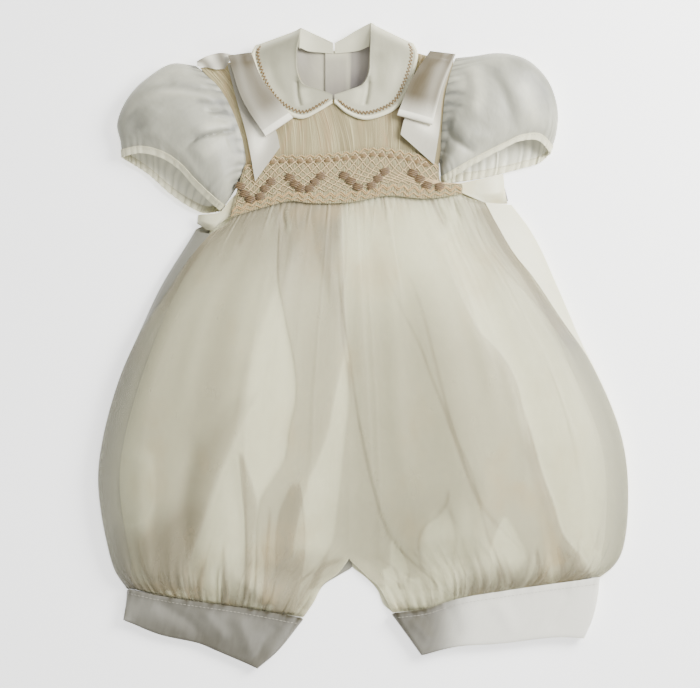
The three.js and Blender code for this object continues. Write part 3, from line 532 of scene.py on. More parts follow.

# Where the overlay lies double ("weight" over 0) or single and taut (under 0), between two lines from top to foot. The
# ply deepening the foot of the left leg is painted shade, and the one brightening the top of the centre a painted
# highlight.
# "crisp": width of the change at each line, in mm. "rim": how dark a pressed edge is: the fold's denser cloth with
# painted shade along its step. "stand": how high it stands.
overlayPlies = [
    {"name": "leftOuter", "weight": 0.45, "crisp": (16, 7), "stand": 0.6,
     "left": [(-102, 116), (-118, 84), (-136, 47), (-152, 4), (-160, -42), (-164, -86), (-162, -132), (-154, -176)],
     "right": [(-59, 116), (-61, 47), (-70, 20), (-79, -12), (-85, -44), (-94, -73), (-103, -95), (-112, -120),
               (-122, -145), (-131, -176)]},
    {"name": "leftOuterEdge", "weight": 0.26, "crisp": (18, 2.2), "stand": 0.5, "rim": (0, 0.12), "fade": (10, 8),
     "left": [(-84, -30), (-100, -52), (-116, -75), (-128, -100), (-138, -130), (-148, -168)],
     "right": [(-62, -22), (-75, -35), (-86, -54), (-95, -75), (-103, -95), (-112, -120), (-122, -145), (-131, -170)]},
    {"name": "leftShade", "weight": 0.22, "crisp": (22, 16), "stand": 0.3, "fade": (50, 30),
     "left": [(-98, 60), (-115, -20), (-126, -70), (-134, -150)],
     "right": [(-86, 60), (-94, -20), (-100, -60), (-118, -150)]},
    # painted shade: the lower left of the leg is coloured deeper, where the light falls weakly
    {"name": "leftFoot", "weight": 0.6, "crisp": (12, 14), "stand": 0, "fade": (34, 1),
     "left": [(-172, -104), (-178, -130), (-180, -176)], "right": [(-106, -104), (-114, -140), (-118, -180)]},
    {"name": "leftHem", "weight": 0.35, "crisp": (14, 8), "stand": 0, "fade": (26, 1),
     "left": [(-118, -140), (-118, -160), (-120, -190)], "right": [(-44, -140), (-36, -165), (-40, -200)]},
    # painted highlight at the top of the centre
    {"name": "centreGlow", "weight": -0.25, "crisp": (20, 24), "stand": 0.2, "fade": (26, 60),
     "left": [(-10, 92), (-6, 50), (0, 6)], "right": [(34, 92), (40, 50), (30, 6)]},
    {"name": "upperLeft", "weight": 0.5, "crisp": (12, 10), "stand": 0, "fade": (3, 60),
     "left": [(-110, 116), (-120, 84), (-130, 30)], "right": [(-16, 116), (-18, 70), (-30, 10)]},
    {"name": "darkTuck", "weight": 0.75, "crisp": (1.4, 3.0), "stand": 0.5, "rim": (0.1, 0.15), "fade": (2, 6),
     "left": [(-88, -76), (-86.5, -100), (-84.5, -125), (-84, -150), (-86, -184)],
     "right": [(-86, -76), (-80, -95), (-76, -112), (-78, -135), (-80, -160), (-80, -186)]},
    {"name": "leftStrip", "weight": 0.62, "crisp": (1.0, 1.4), "stand": 0.7, "rim": (0.12, 0.05),
     "left": [(-59, 116), (-61, 46), (-58, 30), (-54, 10), (-50, -10), (-48, -30), (-49, -42), (-53, -60), (-56, -80),
              (-65, -95), (-72, -106), (-76, -125), (-77, -150), (-78, -186)],
     "right": [(-16, 116), (-14, 40), (-13, 0), (-17, -20), (-21, -40), (-25, -60), (-32, -80), (-38, -95), (-43, -110),
               (-48, -130), (-51, -150), (-55, -170), (-62, -190)]},
    {"name": "leftStripFoot", "weight": 0.5, "crisp": (1.6, 1.4), "stand": 0.4, "rim": (0.0, 0.4), "fade": (6, 2),
     "left": [(-50, -96), (-60, -118), (-63, -140), (-63, -160), (-67, -194)],
     "right": [(-46, -96), (-43, -118), (-42, -140), (-44, -160), (-52, -196)]},
    {"name": "leftWarmTuck", "weight": 0.35, "crisp": (2, 1.4), "stand": 0.4, "rim": (0.2, 0), "fade": (6, 2),
     "left": [(-98, -138), (-104, -160), (-103, -190)], "right": [(-96, -138), (-97, -160), (-97, -190)]},
    {"name": "crotchPly", "weight": 0.55, "crisp": (1.6, 1.2), "stand": 0.4, "fade": (4, 2),
     "left": [(-12, -10), (-11, -40), (-14, -70), (-17, -100), (-19, -120), (-22, -140), (-30, -155), (-40, -176)],
     "right": [(-10, -10), (-7, -30), (-3, -55), (2, -80), (8, -105), (14, -125), (22, -141), (35, -155), (50, -168),
               (66, -184)]},
    {"name": "centre", "weight": 0.55, "crisp": (1.2, 3.5), "stand": 0.8, "rim": (0.45, 0.2), "fade": (96, 2),
     "left": [(-18, 84), (-18, 60), (-17, 40), (-13, 10), (-10, -10), (-7, -30), (-3, -55), (2, -80), (8, -105),
              (14, -125), (22, -141), (35, -155), (50, -168), (66, -186)],
     "right": centreToRight},
    {"name": "right", "weight": 0.62, "crisp": (3.0, 1.4), "stand": 0.9, "rim": (0.15, 0.45), "fade": (96, 2),
     "left": centreToRight,
     "right": [(50, 84), (58, 62), (67, 40), (76, 22), (82, 10), (92, 0), (100, -10), (108, -25), (113, -45),
               (118, -60), (122, -75), (128, -95), (135, -112), (140, -130), (148, -142), (158, -154), (166, -174)]},
    {"name": "rightFoot", "weight": 0.4, "crisp": (9, 1.2), "stand": 0.5, "rim": (0, 0.4), "fade": (30, 2),
     "left": [(108, -50), (118, -85), (124, -105), (130, -125), (137, -145), (146, -174)],
     "right": [(115, -50), (125, -85), (131, -103), (137, -121), (143, -137), (152, -148), (163, -172)]},
    {"name": "sideStrip", "weight": 0.5, "crisp": (1.6, 1.6), "stand": 0.4, "rim": (0.2, 0.15), "fade": (12, 10),
     "left": [(76, 106), (84, 78), (100, 55), (118, 35), (137, 12), (150, -8)],
     "right": [(87, 104), (104, 75), (119, 50), (136, 25), (146, 11), (158, -6)]},
    {"name": "waistRight", "weight": 0.35, "crisp": (14, 3), "stand": 0.3, "fade": (2, 30),
     "left": [(60, 108), (72, 76), (94, 50), (114, 22)],
     "right": [(76, 106), (84, 78), (100, 55), (118, 32)]},
    {"name": "waistCentre", "weight": 0.25, "crisp": (6, 6), "stand": 0.3, "fade": (4, 40),
     "left": [(-38, 116), (-33, 70), (-26, 40), (-20, 6)], "right": [(-30, 116), (-25, 70), (-20, 40), (-16, 6)]},
    {"name": "tautInseam", "weight": -0.6, "crisp": (1.5, 1.5), "stand": -0.4, "fade": (1, 3),
     "left": [(20, -140), (19.5, -152), (21, -166), (27, -172)],
     "right": [(21, -140), (31, -156), (32, -166), (28, -172)]},
    {"name": "tautFoot", "weight": -0.6, "crisp": (1.5, 1.5), "stand": -0.4, "fade": (1, 2),
     "left": [(42, -160), (47, -172), (54, -194)], "right": [(43, -160), (57, -170), (70, -194)]},
    {"name": "tautMiddle", "weight": -0.7, "crisp": (2, 4), "stand": -0.4, "fade": (2, 12),
     "left": [(99, -121), (93, -136), (90, -148), (96, -162)],
     "right": [(101, -121), (110, -136), (116, -150), (110, -162)]},
    {"name": "tautSoft", "weight": -0.5, "crisp": (6, 5), "stand": -0.3, "fade": (12, 14),
     "left": [(50, -114), (44, -140), (48, -168)], "right": [(58, -114), (70, -140), (72, -168)]},
    {"name": "tautFar", "weight": -0.35, "crisp": (10, 10), "stand": 0.2, "fade": (20, 14),
     "left": [(66, -104), (68, -136), (78, -166)], "right": [(84, -104), (88, -136), (96, -166)]},
    {"name": "tautLeft", "weight": -0.85, "crisp": (10, 8), "stand": 0.3, "fade": (24, 20),
     "left": [(-160, -66), (-174, -100), (-168, -140)], "right": [(-152, -66), (-149, -105), (-153, -140)]},
    {"name": "facetOne", "weight": -0.9, "crisp": (1.4, 3), "stand": 0.3, "fade": (2, 2),
     "left": [(14, -162), (16, -172), (20, -186)], "right": [(15, -162), (24, -174), (27, -190)]},
    {"name": "facetTwo", "weight": -0.8, "crisp": (1.4, 1.4), "stand": 0.3, "fade": (2, 2),
     "left": [(25, -164), (31, -176), (34, -192)], "right": [(26, -164), (40, -172), (43, -188)]},
    {"name": "facetThree", "weight": -0.5, "crisp": (2, 5), "stand": 0.3, "fade": (2, 4),
     "left": [(46, -150), (50, -164), (58, -186)], "right": [(50, -150), (64, -162), (72, -182)]},
    {"name": "facetLeft", "weight": -0.6, "crisp": (1.6, 5), "stand": 0.3, "fade": (4, 2),
     "left": [(-108, -136), (-112, -158), (-116, -186)], "right": [(-104, -136), (-100, -158), (-103, -188)]},
    {"name": "facetMiddle", "weight": -0.4, "crisp": (1.6, 1.6), "stand": 0.3, "fade": (4, 2),
     "left": [(-75, -140), (-76, -160), (-79, -192)], "right": [(-74, -140), (-71, -160), (-73, -192)]},
    {"name": "facetInner", "weight": -0.45, "crisp": (1.4, 5), "stand": 0.3, "fade": (26, 16),
     "left": [(-40, -80), (-40, -104), (-42, -130)], "right": [(-22, -80), (-25, -104), (-31, -130)]},
    {"name": "facetSide", "weight": -0.5, "crisp": (1.4, 4), "stand": 0.3, "fade": (4, 2),
     "left": [(152, -138), (160, -150), (166, -170)], "right": [(156, -138), (170, -150), (176, -168)]},
    {"name": "innerFoot", "weight": 0.4, "crisp": (10, 3), "stand": 0.2, "fade": (16, 2),
     "left": [(-52, -140), (-56, -166), (-62, -196)], "right": [(-22, -140), (-30, -166), (-42, -198)]},
    {"name": "tautStrip", "weight": -0.6, "crisp": (4, 1.4), "stand": 0.2, "fade": (2, 16),
     "left": [(-91, -78), (-99, -100), (-105, -125), (-112, -160)],
     "right": [(-89, -77), (-87, -100), (-85, -125), (-88, -160)]},
]

# Softer ridges and troughs of the overlay
overlayCreases = [
    {"along": [(-60, 96), (-88, -40), (-112, -172)], "width": 17, "rise": 2.2},
    {"along": [(-14, 40), (-30, -60), (-48, -150)], "width": 15, "rise": 1.4},
    {"along": [(-88, 84), (-126, -10), (-150, -120)], "width": 16, "rise": -1.6},
    {"along": [(30, 98), (60, -20), (80, -140)], "width": 16, "rise": 1.6},
    {"along": [(62, 100), (112, -20), (150, -160)], "width": 15, "rise": -1.6},
    {"along": [(84, 70), (146, -30), (172, -120)], "width": 15, "rise": 2.2},
    {"along": [(-100, 70), (-144, 0), (-170, -90)], "width": 8, "rise": 1.3},
    {"along": [(-38, 98), (-66, 20), (-92, -60)], "width": 6, "rise": 1.2},
    {"along": [(-76, 96), (-112, 30), (-134, -60)], "width": 6, "rise": 1.0},
    {"along": [(6, 98), (20, 30), (24, -60), (34, -120)], "width": 7, "rise": 1.1},
    {"along": [(44, 98), (78, 20), (96, -60)], "width": 6, "rise": 1.2},
    {"along": [(-118, -60), (-128, -120), (-122, -176)], "width": 7, "rise": -1.8, "end": 0.15},
    {"along": [(-154, -70), (-160, -120), (-152, -172)], "width": 7, "rise": 1.6, "end": 0.15},
    {"along": [(120, -70), (138, -120), (142, -166)], "width": 7, "rise": -2.0, "end": 0.15},
    {"along": [(88, -80), (84, -130), (80, -176)], "width": 7, "rise": 1.5, "end": 0.15},
    {"along": [(-59, 102), (-58, 92), (-56, 80)], "width": 2.4, "rise": -2.2, "start": 0.05},
    {"along": [(50, 108), (54, 98), (60, 86)], "width": 2.6, "rise": -2.4, "start": 0.05},
    {"along": [(64, 106), (66, 98), (70, 88)], "width": 2.0, "rise": -1.6, "start": 0.05},
]

# Thin lines where the overlay is tucked ("rise" is how much deeper or brighter it looks): partly the doubled cloth of
# the tuck, partly painted shade in it and painted light beside it
overlayLines = [
    {"along": [(-60, 101), (-58.5, 92), (-57, 82)], "width": 1.6, "rise": 0.8, "start": 0.02},
    {"along": [(-56, 100), (-54, 90), (-52, 80)], "width": 2.2, "rise": -0.5, "start": 0.02},
    {"along": [(-37, 104), (-36.5, 94), (-38, 84)], "width": 1.0, "rise": 0.5, "start": 0.02},
    {"along": [(-24, 105), (-22, 92), (-18, 74)], "width": 1.2, "rise": 0.35, "start": 0.02},
    {"along": [(14, 107), (16, 98), (15, 88)], "width": 1.2, "rise": 0.4, "start": 0.02},
    {"along": [(49, 106), (53, 97), (60, 82)], "width": 1.5, "rise": 0.8, "start": 0.02},
    {"along": [(56, 106), (60, 96), (66, 84)], "width": 1.8, "rise": -0.4, "start": 0.02},
    {"along": [(-80, 94), (-84, 84), (-90, 70)], "width": 1.2, "rise": 0.4, "start": 0.02},
    {"along": [(-11, 104), (-13, 60), (-16, 20), (-11, -20), (-6, -60)], "width": 1.0, "rise": 0.3, "start": 0.1},
    {"along": [(28, 60), (40, 30), (48, 0), (58, -40), (70, -80), (84, -120)], "width": 1.2, "rise": 0.3},
    {"along": [(54, -30), (63, -60), (83, -112), (115, -148), (126, -164)], "width": 1.3, "rise": 0.4},
    {"along": [(60, -100), (59, -112), (40, -136), (43, -162)], "width": 1.4, "rise": 0.4, "start": 0.1},
    {"along": [(60, -112), (66, -136), (64, -160), (70, -180)], "width": 1.4, "rise": 0.35, "start": 0.1},
    {"along": [(50, -124), (48, -140), (52, -156)], "width": 7, "rise": -0.4},
    {"along": [(16, -160), (22, -170), (28, -184)], "width": 3.0, "rise": -0.8, "start": 0.1, "end": 0.02},
    {"along": [(-160, -96), (-166, -112), (-162, -130)], "width": 9, "rise": -0.5},
    {"along": [(-90, -84), (-96, -110), (-106, -150)], "width": 6, "rise": -0.45},
    {"along": [(-74, 60), (-80, 20), (-92, -20)], "width": 9, "rise": -0.15},
    {"along": [(-86, -60), (-84, -100), (-84, -150), (-88, -186)], "width": 1.3, "rise": 0.3},
    {"along": [(-99, -130), (-100, -160), (-100, -186)], "width": 1.4, "rise": 0.6, "end": 0.02},
    {"along": [(-66, -110), (-69, -150), (-72, -192)], "width": 1.3, "rise": 0.5, "end": 0.02},
    {"along": [(-52, -130), (-56, -160), (-62, -192)], "width": 1.2, "rise": 0.6, "end": 0.02},
    {"along": [(-38, -168), (-26, -158), (-12, -154)], "width": 2.0, "rise": 0.5},
    {"along": [(26, -176), (24, -164), (18, -156)], "width": 1.4, "rise": 0.7, "start": 0.02},
    {"along": [(36, -188), (33, -174), (30, -160)], "width": 1.6, "rise": 0.7, "start": 0.02},
    {"along": [(42, -186), (40, -174), (38, -164)], "width": 2.4, "rise": -0.7, "start": 0.02},
    {"along": [(57, -184), (52, -172), (46, -160)], "width": 1.3, "rise": 0.6, "start": 0.02},
    {"along": [(88, -178), (84, -160), (78, -140)], "width": 1.4, "rise": 0.45, "start": 0.02},
    {"along": [(108, -174), (104, -160), (98, -146)], "width": 1.3, "rise": 0.4, "start": 0.02},
    {"along": [(128, -174), (126, -160), (122, -140)], "width": 1.5, "rise": 0.6, "start": 0.02},
    {"along": [(136, -172), (134, -160), (132, -146)], "width": 1.8, "rise": -0.6, "start": 0.02},
    {"along": [(144, -170), (142, -156), (138, -140)], "width": 1.4, "rise": 0.7, "start": 0.02},
    {"along": [(156, -168), (152, -158), (144, -146)], "width": 1.4, "rise": 0.6, "start": 0.02},
    {"along": [(-150, -178), (-148, -160), (-144, -136)], "width": 1.6, "rise": 0.5, "start": 0.02},
    {"along": [(-136, -180), (-133, -160), (-128, -140)], "width": 1.4, "rise": 0.4, "start": 0.02},
    {"along": [(-120, -182), (-117, -168), (-112, -150)], "width": 1.8, "rise": 0.5, "start": 0.02},
]

# Where the overlay looks warmer
overlayWarmth = [
    {"along": [(-4, 58), (10, 48), (24, 44)], "width": 20, "rise": 0.42, "start": 0.02, "end": 0.02},
    {"along": [(110, -92), (126, -126), (136, -158)], "width": 9, "rise": 0.5, "start": 0.1, "end": 0.02},
    {"along": [(-66, -122), (-68, -150), (-70, -186)], "width": 10, "rise": 0.4, "start": 0.1, "end": 0.02},
    {"along": [(-132, -130), (-118, -156), (-112, -180)], "width": 12, "rise": 0.35, "start": 0.1, "end": 0.02},
    {"along": [(-150, -60), (-140, -96), (-126, -110)], "width": 14, "rise": 0.2},
    {"along": [(84, -70), (96, -104), (90, -128)], "width": 12, "rise": 0.3},
    {"along": [(60, 80), (84, 50), (110, 20)], "width": 18, "rise": 0.3, "start": 0.05, "end": 0.1},
    {"along": [(-70, 96), (-20, 98), (40, 102)], "width": 8, "rise": 0.25, "start": 0.02, "end": 0.02},
]

# The lining is smoother: a few wide folds of its own
liningCreases = [
    {"along": [(-58, 80), (-70, 0), (-84, -120)], "width": 14, "rise": 1.4},
    {"along": [(-92, 40), (-120, -50), (-132, -150)], "width": 9, "rise": -1.6},
    {"along": [(-40, 20), (-52, -60), (-76, -150)], "width": 8, "rise": -1.4},
    {"along": [(24, 60), (40, -20), (60, -130)], "width": 14, "rise": -1.2},
    {"along": [(70, 60), (110, -20), (132, -130)], "width": 11, "rise": -1.5},
    {"along": [(96, 30), (140, -50), (158, -130)], "width": 12, "rise": 1.3},
]

crownAt = readTable(fullness, "crown")
centreAt = readTable(fullness, "centre")


class Leg:
    # everything about one leg that its layers share
    def __init__(self, key):
        spec = legs[key]
        self.key, self.spec = key, spec
        middle, crotch = romper["centreFront"], spec["inseam"][0]
        self.sideSeam, self.outline = line(spec["sideSeam"]), line(spec["outline"])
        self.plan = panel(line(spec["waist"]), line(spec["cuff"]),
                          chain(line([(middle, spec["waist"][0][1]), crotch]), line(spec["inseam"]),
                                romper["crotchAt"]),
                          lambda t: withHeight(self.sideSeam(t), 0))

    def out(self, down):
        away = withHeight(self.outline(down) - self.plan(np.full_like(down, 0.6), down), 0)
        return away / np.linalg.norm(away, axis=-1, keepdims=True)

    def towardsFront(self, down):
        # along the cloth and over the side seam: up where the seam lies on the side, inwards where it lies on top
        turned = smooth(down, 0.12, 0.42)[..., None]
        way = self.out(down) * (turned - 1) + np.array([0, 0, 1.0]) * turned
        return way / np.linalg.norm(way, axis=-1, keepdims=True)

    def frontHeight(self, across, down):
        side = self.sideSeam(down)[..., 2]
        dip = 1 - smooth(across, 0, blend(0.5, 0.2, smooth(down, 0.86, 1)))
        full = side + (crownAt(down) - side) * np.sqrt(np.maximum(0, 1 - across ** 4.5))
        return full - (crownAt(down) - centreAt(down)) * dip


def plyMask(x, y, ply):
    # how far the ply reaches over each place, and how dark its pressed edges are there
    edges = []
    for side in ("left", "right"):
        path = line(ply[side])(np.linspace(0, 1, 80))
        order = np.argsort(path[:, 1])
        edges.append(np.interp(y, path[order, 1], path[order, 0]))
    top = min(ply[side][0][1] for side in ("left", "right"))
    foot = max(ply[side][-1][1] for side in ("left", "right"))
    atTop, atFoot = ply.get("fade", (3, 3))
    within = smooth(y, foot - 1, foot + atFoot) * (1 - smooth(y, top - atTop, top + 1))
    first, second = ply["crisp"]
    mask = smooth(x, edges[0] - first / 2, edges[0] + first / 2) \
        * (1 - smooth(x, edges[1] - second / 2, edges[1] + second / 2)) * within
    rims = sum(dark * np.exp(-((x - edge) / 1.0) ** 2) for edge, dark in zip(edges, ply.get("rim", (0, 0)))) * within
    return mask, rims


fanSpec = {
    "left": {"seed": 201, "count": 13}, "right": {"seed": 217, "count": 14},
}


def fanFolds(key, u, v):
    # faint pressed folds that fan out from the waist gathers, each sharp on one side
    rng = np.random.default_rng(fanSpec[key]["seed"])
    total = np.zeros_like(u)
    for _ in range(fanSpec[key]["count"]):
        start, drift, bend = rng.uniform(0.02, 0.92), rng.uniform(-0.08, 0.08), rng.uniform(-0.06, 0.06)
        top, foot = rng.choice([0.0, 0.0, rng.uniform(0.1, 0.6)]), rng.uniform(0.35, 1.0)
        wide, way, weight = rng.uniform(0.02, 0.09), rng.choice([-1, 1]), rng.uniform(0.15, 0.5)
        t = (u - start - drift * v - bend * v * v) * way / (wide * (0.4 + v))
        reach = smooth(v, top - 0.02, top + 0.12) * (1 - smooth(v, foot - 0.25, foot + 0.02))
        total += weight * smooth(t, -0.05, 0.05) * (1 - smooth(t, 0.05, 1.0)) * reach
    return total


pressedSpec = {
    "left": {"seed": 303, "cuff": 46, "waist": 18}, "right": {"seed": 318, "cuff": 46, "waist": 18},
}


def pressedLines(key, u, width, distance, end):
    # lines pressed into the gathered cloth, darker or brighter, that run out from a seam; each is sharp on one side
    rng = np.random.default_rng(pressedSpec[key]["seed"] + len(end))
    total = np.zeros_like(u)
    tall = (12, 62) if end == "cuff" else (8, 40)
    for _ in range(pressedSpec[key][end]):
        start, lean, bend = rng.uniform(0.01, 0.95), rng.uniform(-0.12, 0.12), rng.uniform(-0.1, 0.1)
        long, wide = rng.uniform(*tall), rng.uniform(1.2, 5.0) * rng.choice([-1, 1])
        weight = rng.choice([1, 1, -0.8]) * rng.uniform(0.2, 0.55)
        far = distance / long
        t = (u - start - lean * far * long / 100 - bend * far ** 2 * long / 100) * width / (wide * (0.5 + 0.7 * far))
        total += weight * smooth(t, -0.12, 0.12) * (1 - smooth(t, 0.1, 1.0)) * (1 - smooth(far, 0.4, 1.0))
    return total


gatherSpec = {
    "left": {"seed": 11, "waist": 26, "cuff": 22}, "right": {"seed": 23, "waist": 27, "cuff": 24},
}


def legDistances(points):
    down = lengthsAlong(points, 0)
    return down, down[-1:] - down


# The sheets each leg is cut from
legCuts = {
    "left": {"overlay": {"flat": (240, 318), "area": 60000, "held": "gathered"},
             "lining": {"flat": (190, 316), "area": 45000, "held": "gathered"},
             "back": {"flat": (215, 314), "area": 48000, "held": "gathered"}},
    "right": {"overlay": {"flat": (255, 314), "area": 65000, "held": "gathered"},
              "lining": {"flat": (205, 314), "area": 49500, "held": "gathered"},
              "back": {"flat": (235, 308), "area": 55500, "held": "gathered"}},
}

# painted shade: the left back is coloured deeper than the right, as the light comes from the right
backShade = {"left": 1.0, "right": 0.02}

# How much deeper the overlay looks where it turns over the side
sideTone = {"left": 0.25, "right": 0.26}
coolEdge = {"left": 0.55, "right": 0.6}


def overlayFront(leg):
    columns = np.linspace(0, 1, 190) ** 0.96
    rows = np.concatenate([np.linspace(0, 0.06, 14)[:-1], np.linspace(0.06, 0.9, 100)[:-1], np.linspace(0.9, 1, 26)])
    u, v = spread(columns, rows)
    points = leg.plan(u, v)
    x, y = points[..., 0], points[..., 1]
    height = leg.frontHeight(u, v)
    fromWaist, fromCuff = legDistances(points)
    spec = gatherSpec[leg.key]
    waist = gathers(spec["seed"], spec["waist"], (3, 20), 26)(u, fromWaist)
    cuff = gathers(spec["seed"] + 1, spec["cuff"], (7, 26), 30)(u, fromCuff)
    inside = smooth(u, 0, 0.06) * (1 - smooth(u, 0.86, 1))
    ends = smooth(v, 0, 0.05) * (1 - smooth(v, 0.93, 1))
    height = height + creases(x, y, overlayCreases) * inside * ends
    pliesAndPaintedShading = np.zeros_like(x)
    for ply in overlayPlies:
        mask, rims = plyMask(x, y, ply)
        pliesAndPaintedShading += mask * ply["weight"] + rims
        height = height + mask * ply["stand"] * inside * (0.25 + 0.75 * ends)
    width = lengthsAlong(points, 1)[:, -1:]
    pressed = pressedLines(leg.key, u, width, fromCuff, "cuff") \
        + 0.7 * pressedLines(leg.key, u, width, fromWaist, "waist")
    pliesAndPaintedShading = pliesAndPaintedShading * 0.9 + pressed + creases(x, y, overlayLines)
    height = height + pressed * 1.0 * inside * ends
    fans = fanFolds(leg.key, u, v)
    pliesAndPaintedShading += fans * 0.3
    height = height + fans * 0.6 * inside
    height = height + waist * 0.9 * (1 - smooth(u, 0.9, 1)) \
        + cuff * 2.6 * (1 - smooth(u, 0.93, 1)) * smooth(fromCuff, 0.5, 3.5)
    # painted shade: darker in the valleys between the gathers at the waist and at the cuff
    valleyShade = (1 - np.clip(waist * 1.8, 0, 1)) * np.exp(-(fromWaist / 9) ** 2) \
        + (1 - np.clip(cuff * 1.6, 0, 1)) * np.exp(-(fromCuff / 8) ** 2)
    allowance = smooth(u, 0.925, 0.94) * (1 - smooth(v, 0.42, 0.55))
    nearSeams = 0.2 * np.exp(-(fromWaist / 16) ** 2) + 0.25 * np.exp(-(fromCuff / 10) ** 2)
    pliesAndPaintedShading = np.clip(pliesAndPaintedShading, -0.3, 1.2) + 0.4 * valleyShade + 0.3 * allowance + nearSeams \
        + sideTone[leg.key] * smooth(u, 0.86, 0.97)
    cool = coolEdge[leg.key] * smooth(u, 0.84, 0.97) * smooth(v, 0.2, 0.4)
    warm = creases(x, y, overlayWarmth) + 0.22 * np.exp(-(fromCuff / 12) ** 2) - 0.1
    height = np.maximum(height, romper["overlayFloor"])
    points = withHeight(points, height)
    made = cloth(f"overlay_{leg.key}", points, sheetThickness["organza"], finish["organza"],
                 [f"overlay_front_{leg.key}"], {**legCuts[leg.key]["overlay"], "on": [f"lining_{leg.key}"]},
                 marks={"pliesAndPaintedShading": pliesAndPaintedShading, "cool": cool, "warm": warm})
    return made


def liningFront(leg):
    u, v = spread(np.linspace(0, 1, 80), np.concatenate([np.linspace(0, 0.9, 80)[:-1], np.linspace(0.9, 1, 12)]))
    reach = leg.plan(u, v)
    over = leg.frontHeight(u, v)
    out = leg.out(v)
    inset = blend(romper["liningInset"], 6, smooth(v, 0.9, 1))[..., None]
    edge = leg.outline(v) - out * inset
    points = reach + (edge - leg.plan(np.ones_like(u), v)) * (u ** 3)[..., None]
    full = np.minimum(np.minimum(smooth(u, 0, 0.2), smooth(v, 0, 0.12)), 1 - smooth(v, 0.88, 1))
    drop = blend(romper["edgeDrop"], romper["liningDrop"], full)
    seat = blend(romper["backLevel"] + 1.2, 1.3, smooth(v, 0.02, 0.06)) + 0.3
    atCuff = smooth(v, 0.86, 1)
    side = leg.sideSeam(v)[..., 2]
    top = over - drop - 0.4 * (1 - atCuff) * (side - seat) * smooth(u, 0.5, 1)
    hang = np.sqrt(np.maximum(0, 1 - u ** blend(6, 20, atCuff)))
    height = np.maximum(seat + 0.6, blend(seat, top, hang))
    calm = smooth(u, 0.05, 0.25) * (1 - smooth(u, 0.8, 1)) * smooth(v, 0.06, 0.2) * (1 - smooth(v, 0.85, 0.97))
    folds = creases(points[..., 0], points[..., 1], liningCreases)
    height = np.where(u < 1, height + np.minimum(folds * calm, 1.2), seat)
    return cloth(f"lining_{leg.key}", withHeight(points, height), sheetThickness["lining"], finish["lining"],
                 [f"lining_front_{leg.key}"], {**legCuts[leg.key]["lining"], "on": [f"back_{leg.key}"]},
                 marks={"pliesAndPaintedShading": np.zeros_like(u)})


def bloomerBack(leg):
    spec = leg.spec
    waist = [(romper["centreBack"], spec["backWaist"][0][1]), *spec["backWaist"][1:]]
    plan = panel(line(waist), line(spec["cuff"]),
                 chain(line([waist[0], spec["backInseam"][0]]), line(spec["backInseam"]), romper["crotchAt"]),
                 leg.outline)
    flat, turn = 5, 4
    share, v = spread(np.concatenate([np.linspace(0, 1, 50)[:-1], np.linspace(1, 1 + turn / flat, 22)]), 110)
    bed = sheetThickness["satin"] / 2 + 0.05
    foldLine = 1 - blend(romper["sideFold"], 3, smooth(v, 0.93, 1)) \
        / np.linalg.norm(leg.outline(v) - plan(np.zeros_like(v), v), axis=-1)
    lying = withHeight(plan(np.minimum(share, 1) * foldLine, v), bed)
    t = (np.clip((share - 1) * flat / turn, 0, 1))[..., None]
    end = leg.sideSeam(v) - leg.towardsFront(v) * 0.12
    overlap = np.linalg.norm((leg.outline(v) - end)[..., :2], axis=-1)
    bulge = withHeight(leg.outline(v) + leg.out(v) * (overlap * 1.15)[..., None], blend(bed, end[..., 2], 0.18))
    turned = lying * (1 - t) ** 2 + bulge * 2 * t * (1 - t) + end * t ** 2
    points = np.where(t > 0, turned, lying)
    fromCuff = legDistances(points)[1]
    tucks = gathers(gatherSpec[leg.key]["seed"] + 5, 30, (8, 24), 30)(share / 1.8, fromCuff)
    lift = tucks * 1.2 * smooth(v, 0.75, 0.95)
    points[..., 2] += np.where(points[..., 2] < 3, lift * 0.7, lift)
    ruffle = smooth(t[..., 0], 0.1, 0.5) * (tucks - 0.4) * 1.6 * smooth(v, 0.8, 0.95)
    points[..., :2] += leg.out(v)[..., :2] * ruffle[..., None]
    return cloth(f"back_{leg.key}", points, sheetThickness["satin"], finish["satin"],
                 [f"bloomer_back_{leg.key}"], legCuts[leg.key]["back"],
                 marks={"pliesAndPaintedShading": backShade[leg.key] + 0.35 * tucks * np.exp(-(fromCuff / 12) ** 2),
                        "warm": np.full_like(v, -1.0)})


for key in ("left", "right"):
    leg = Leg(key)
    bloomerBack(leg)
    liningFront(leg)
    overlayFront(leg)
print("bloomer made")


# Tubes: a front and a back wall that meet at two folded ends

def squareEnd(opened):
    return np.sqrt(np.maximum(0, 1 - (1 - np.minimum(1, opened * 1.8)) ** 2))


def tubeSurface(front, back, heights, rounded):
    def at(turn, down):
        angle = turn * 2 * math.pi
        share = (1 - np.cos(angle)) / 2
        opened = np.abs(np.sin(angle))
        dome = opened ** 0.75 if rounded else squareEnd(opened)
        top = blend(heights["end"](down), heights["top"](down), dome)
        bottom = blend(heights["end"](down), heights["bottom"](down), squareEnd(opened))
        isFront = (turn <= 0.5)[..., None]
        return np.where(isFront, withHeight(front(share, down), top), withHeight(back(share, down), bottom))
    return at


def same(value):
    return lambda down: np.full(np.shape(down), float(value))


# Leg cuffs

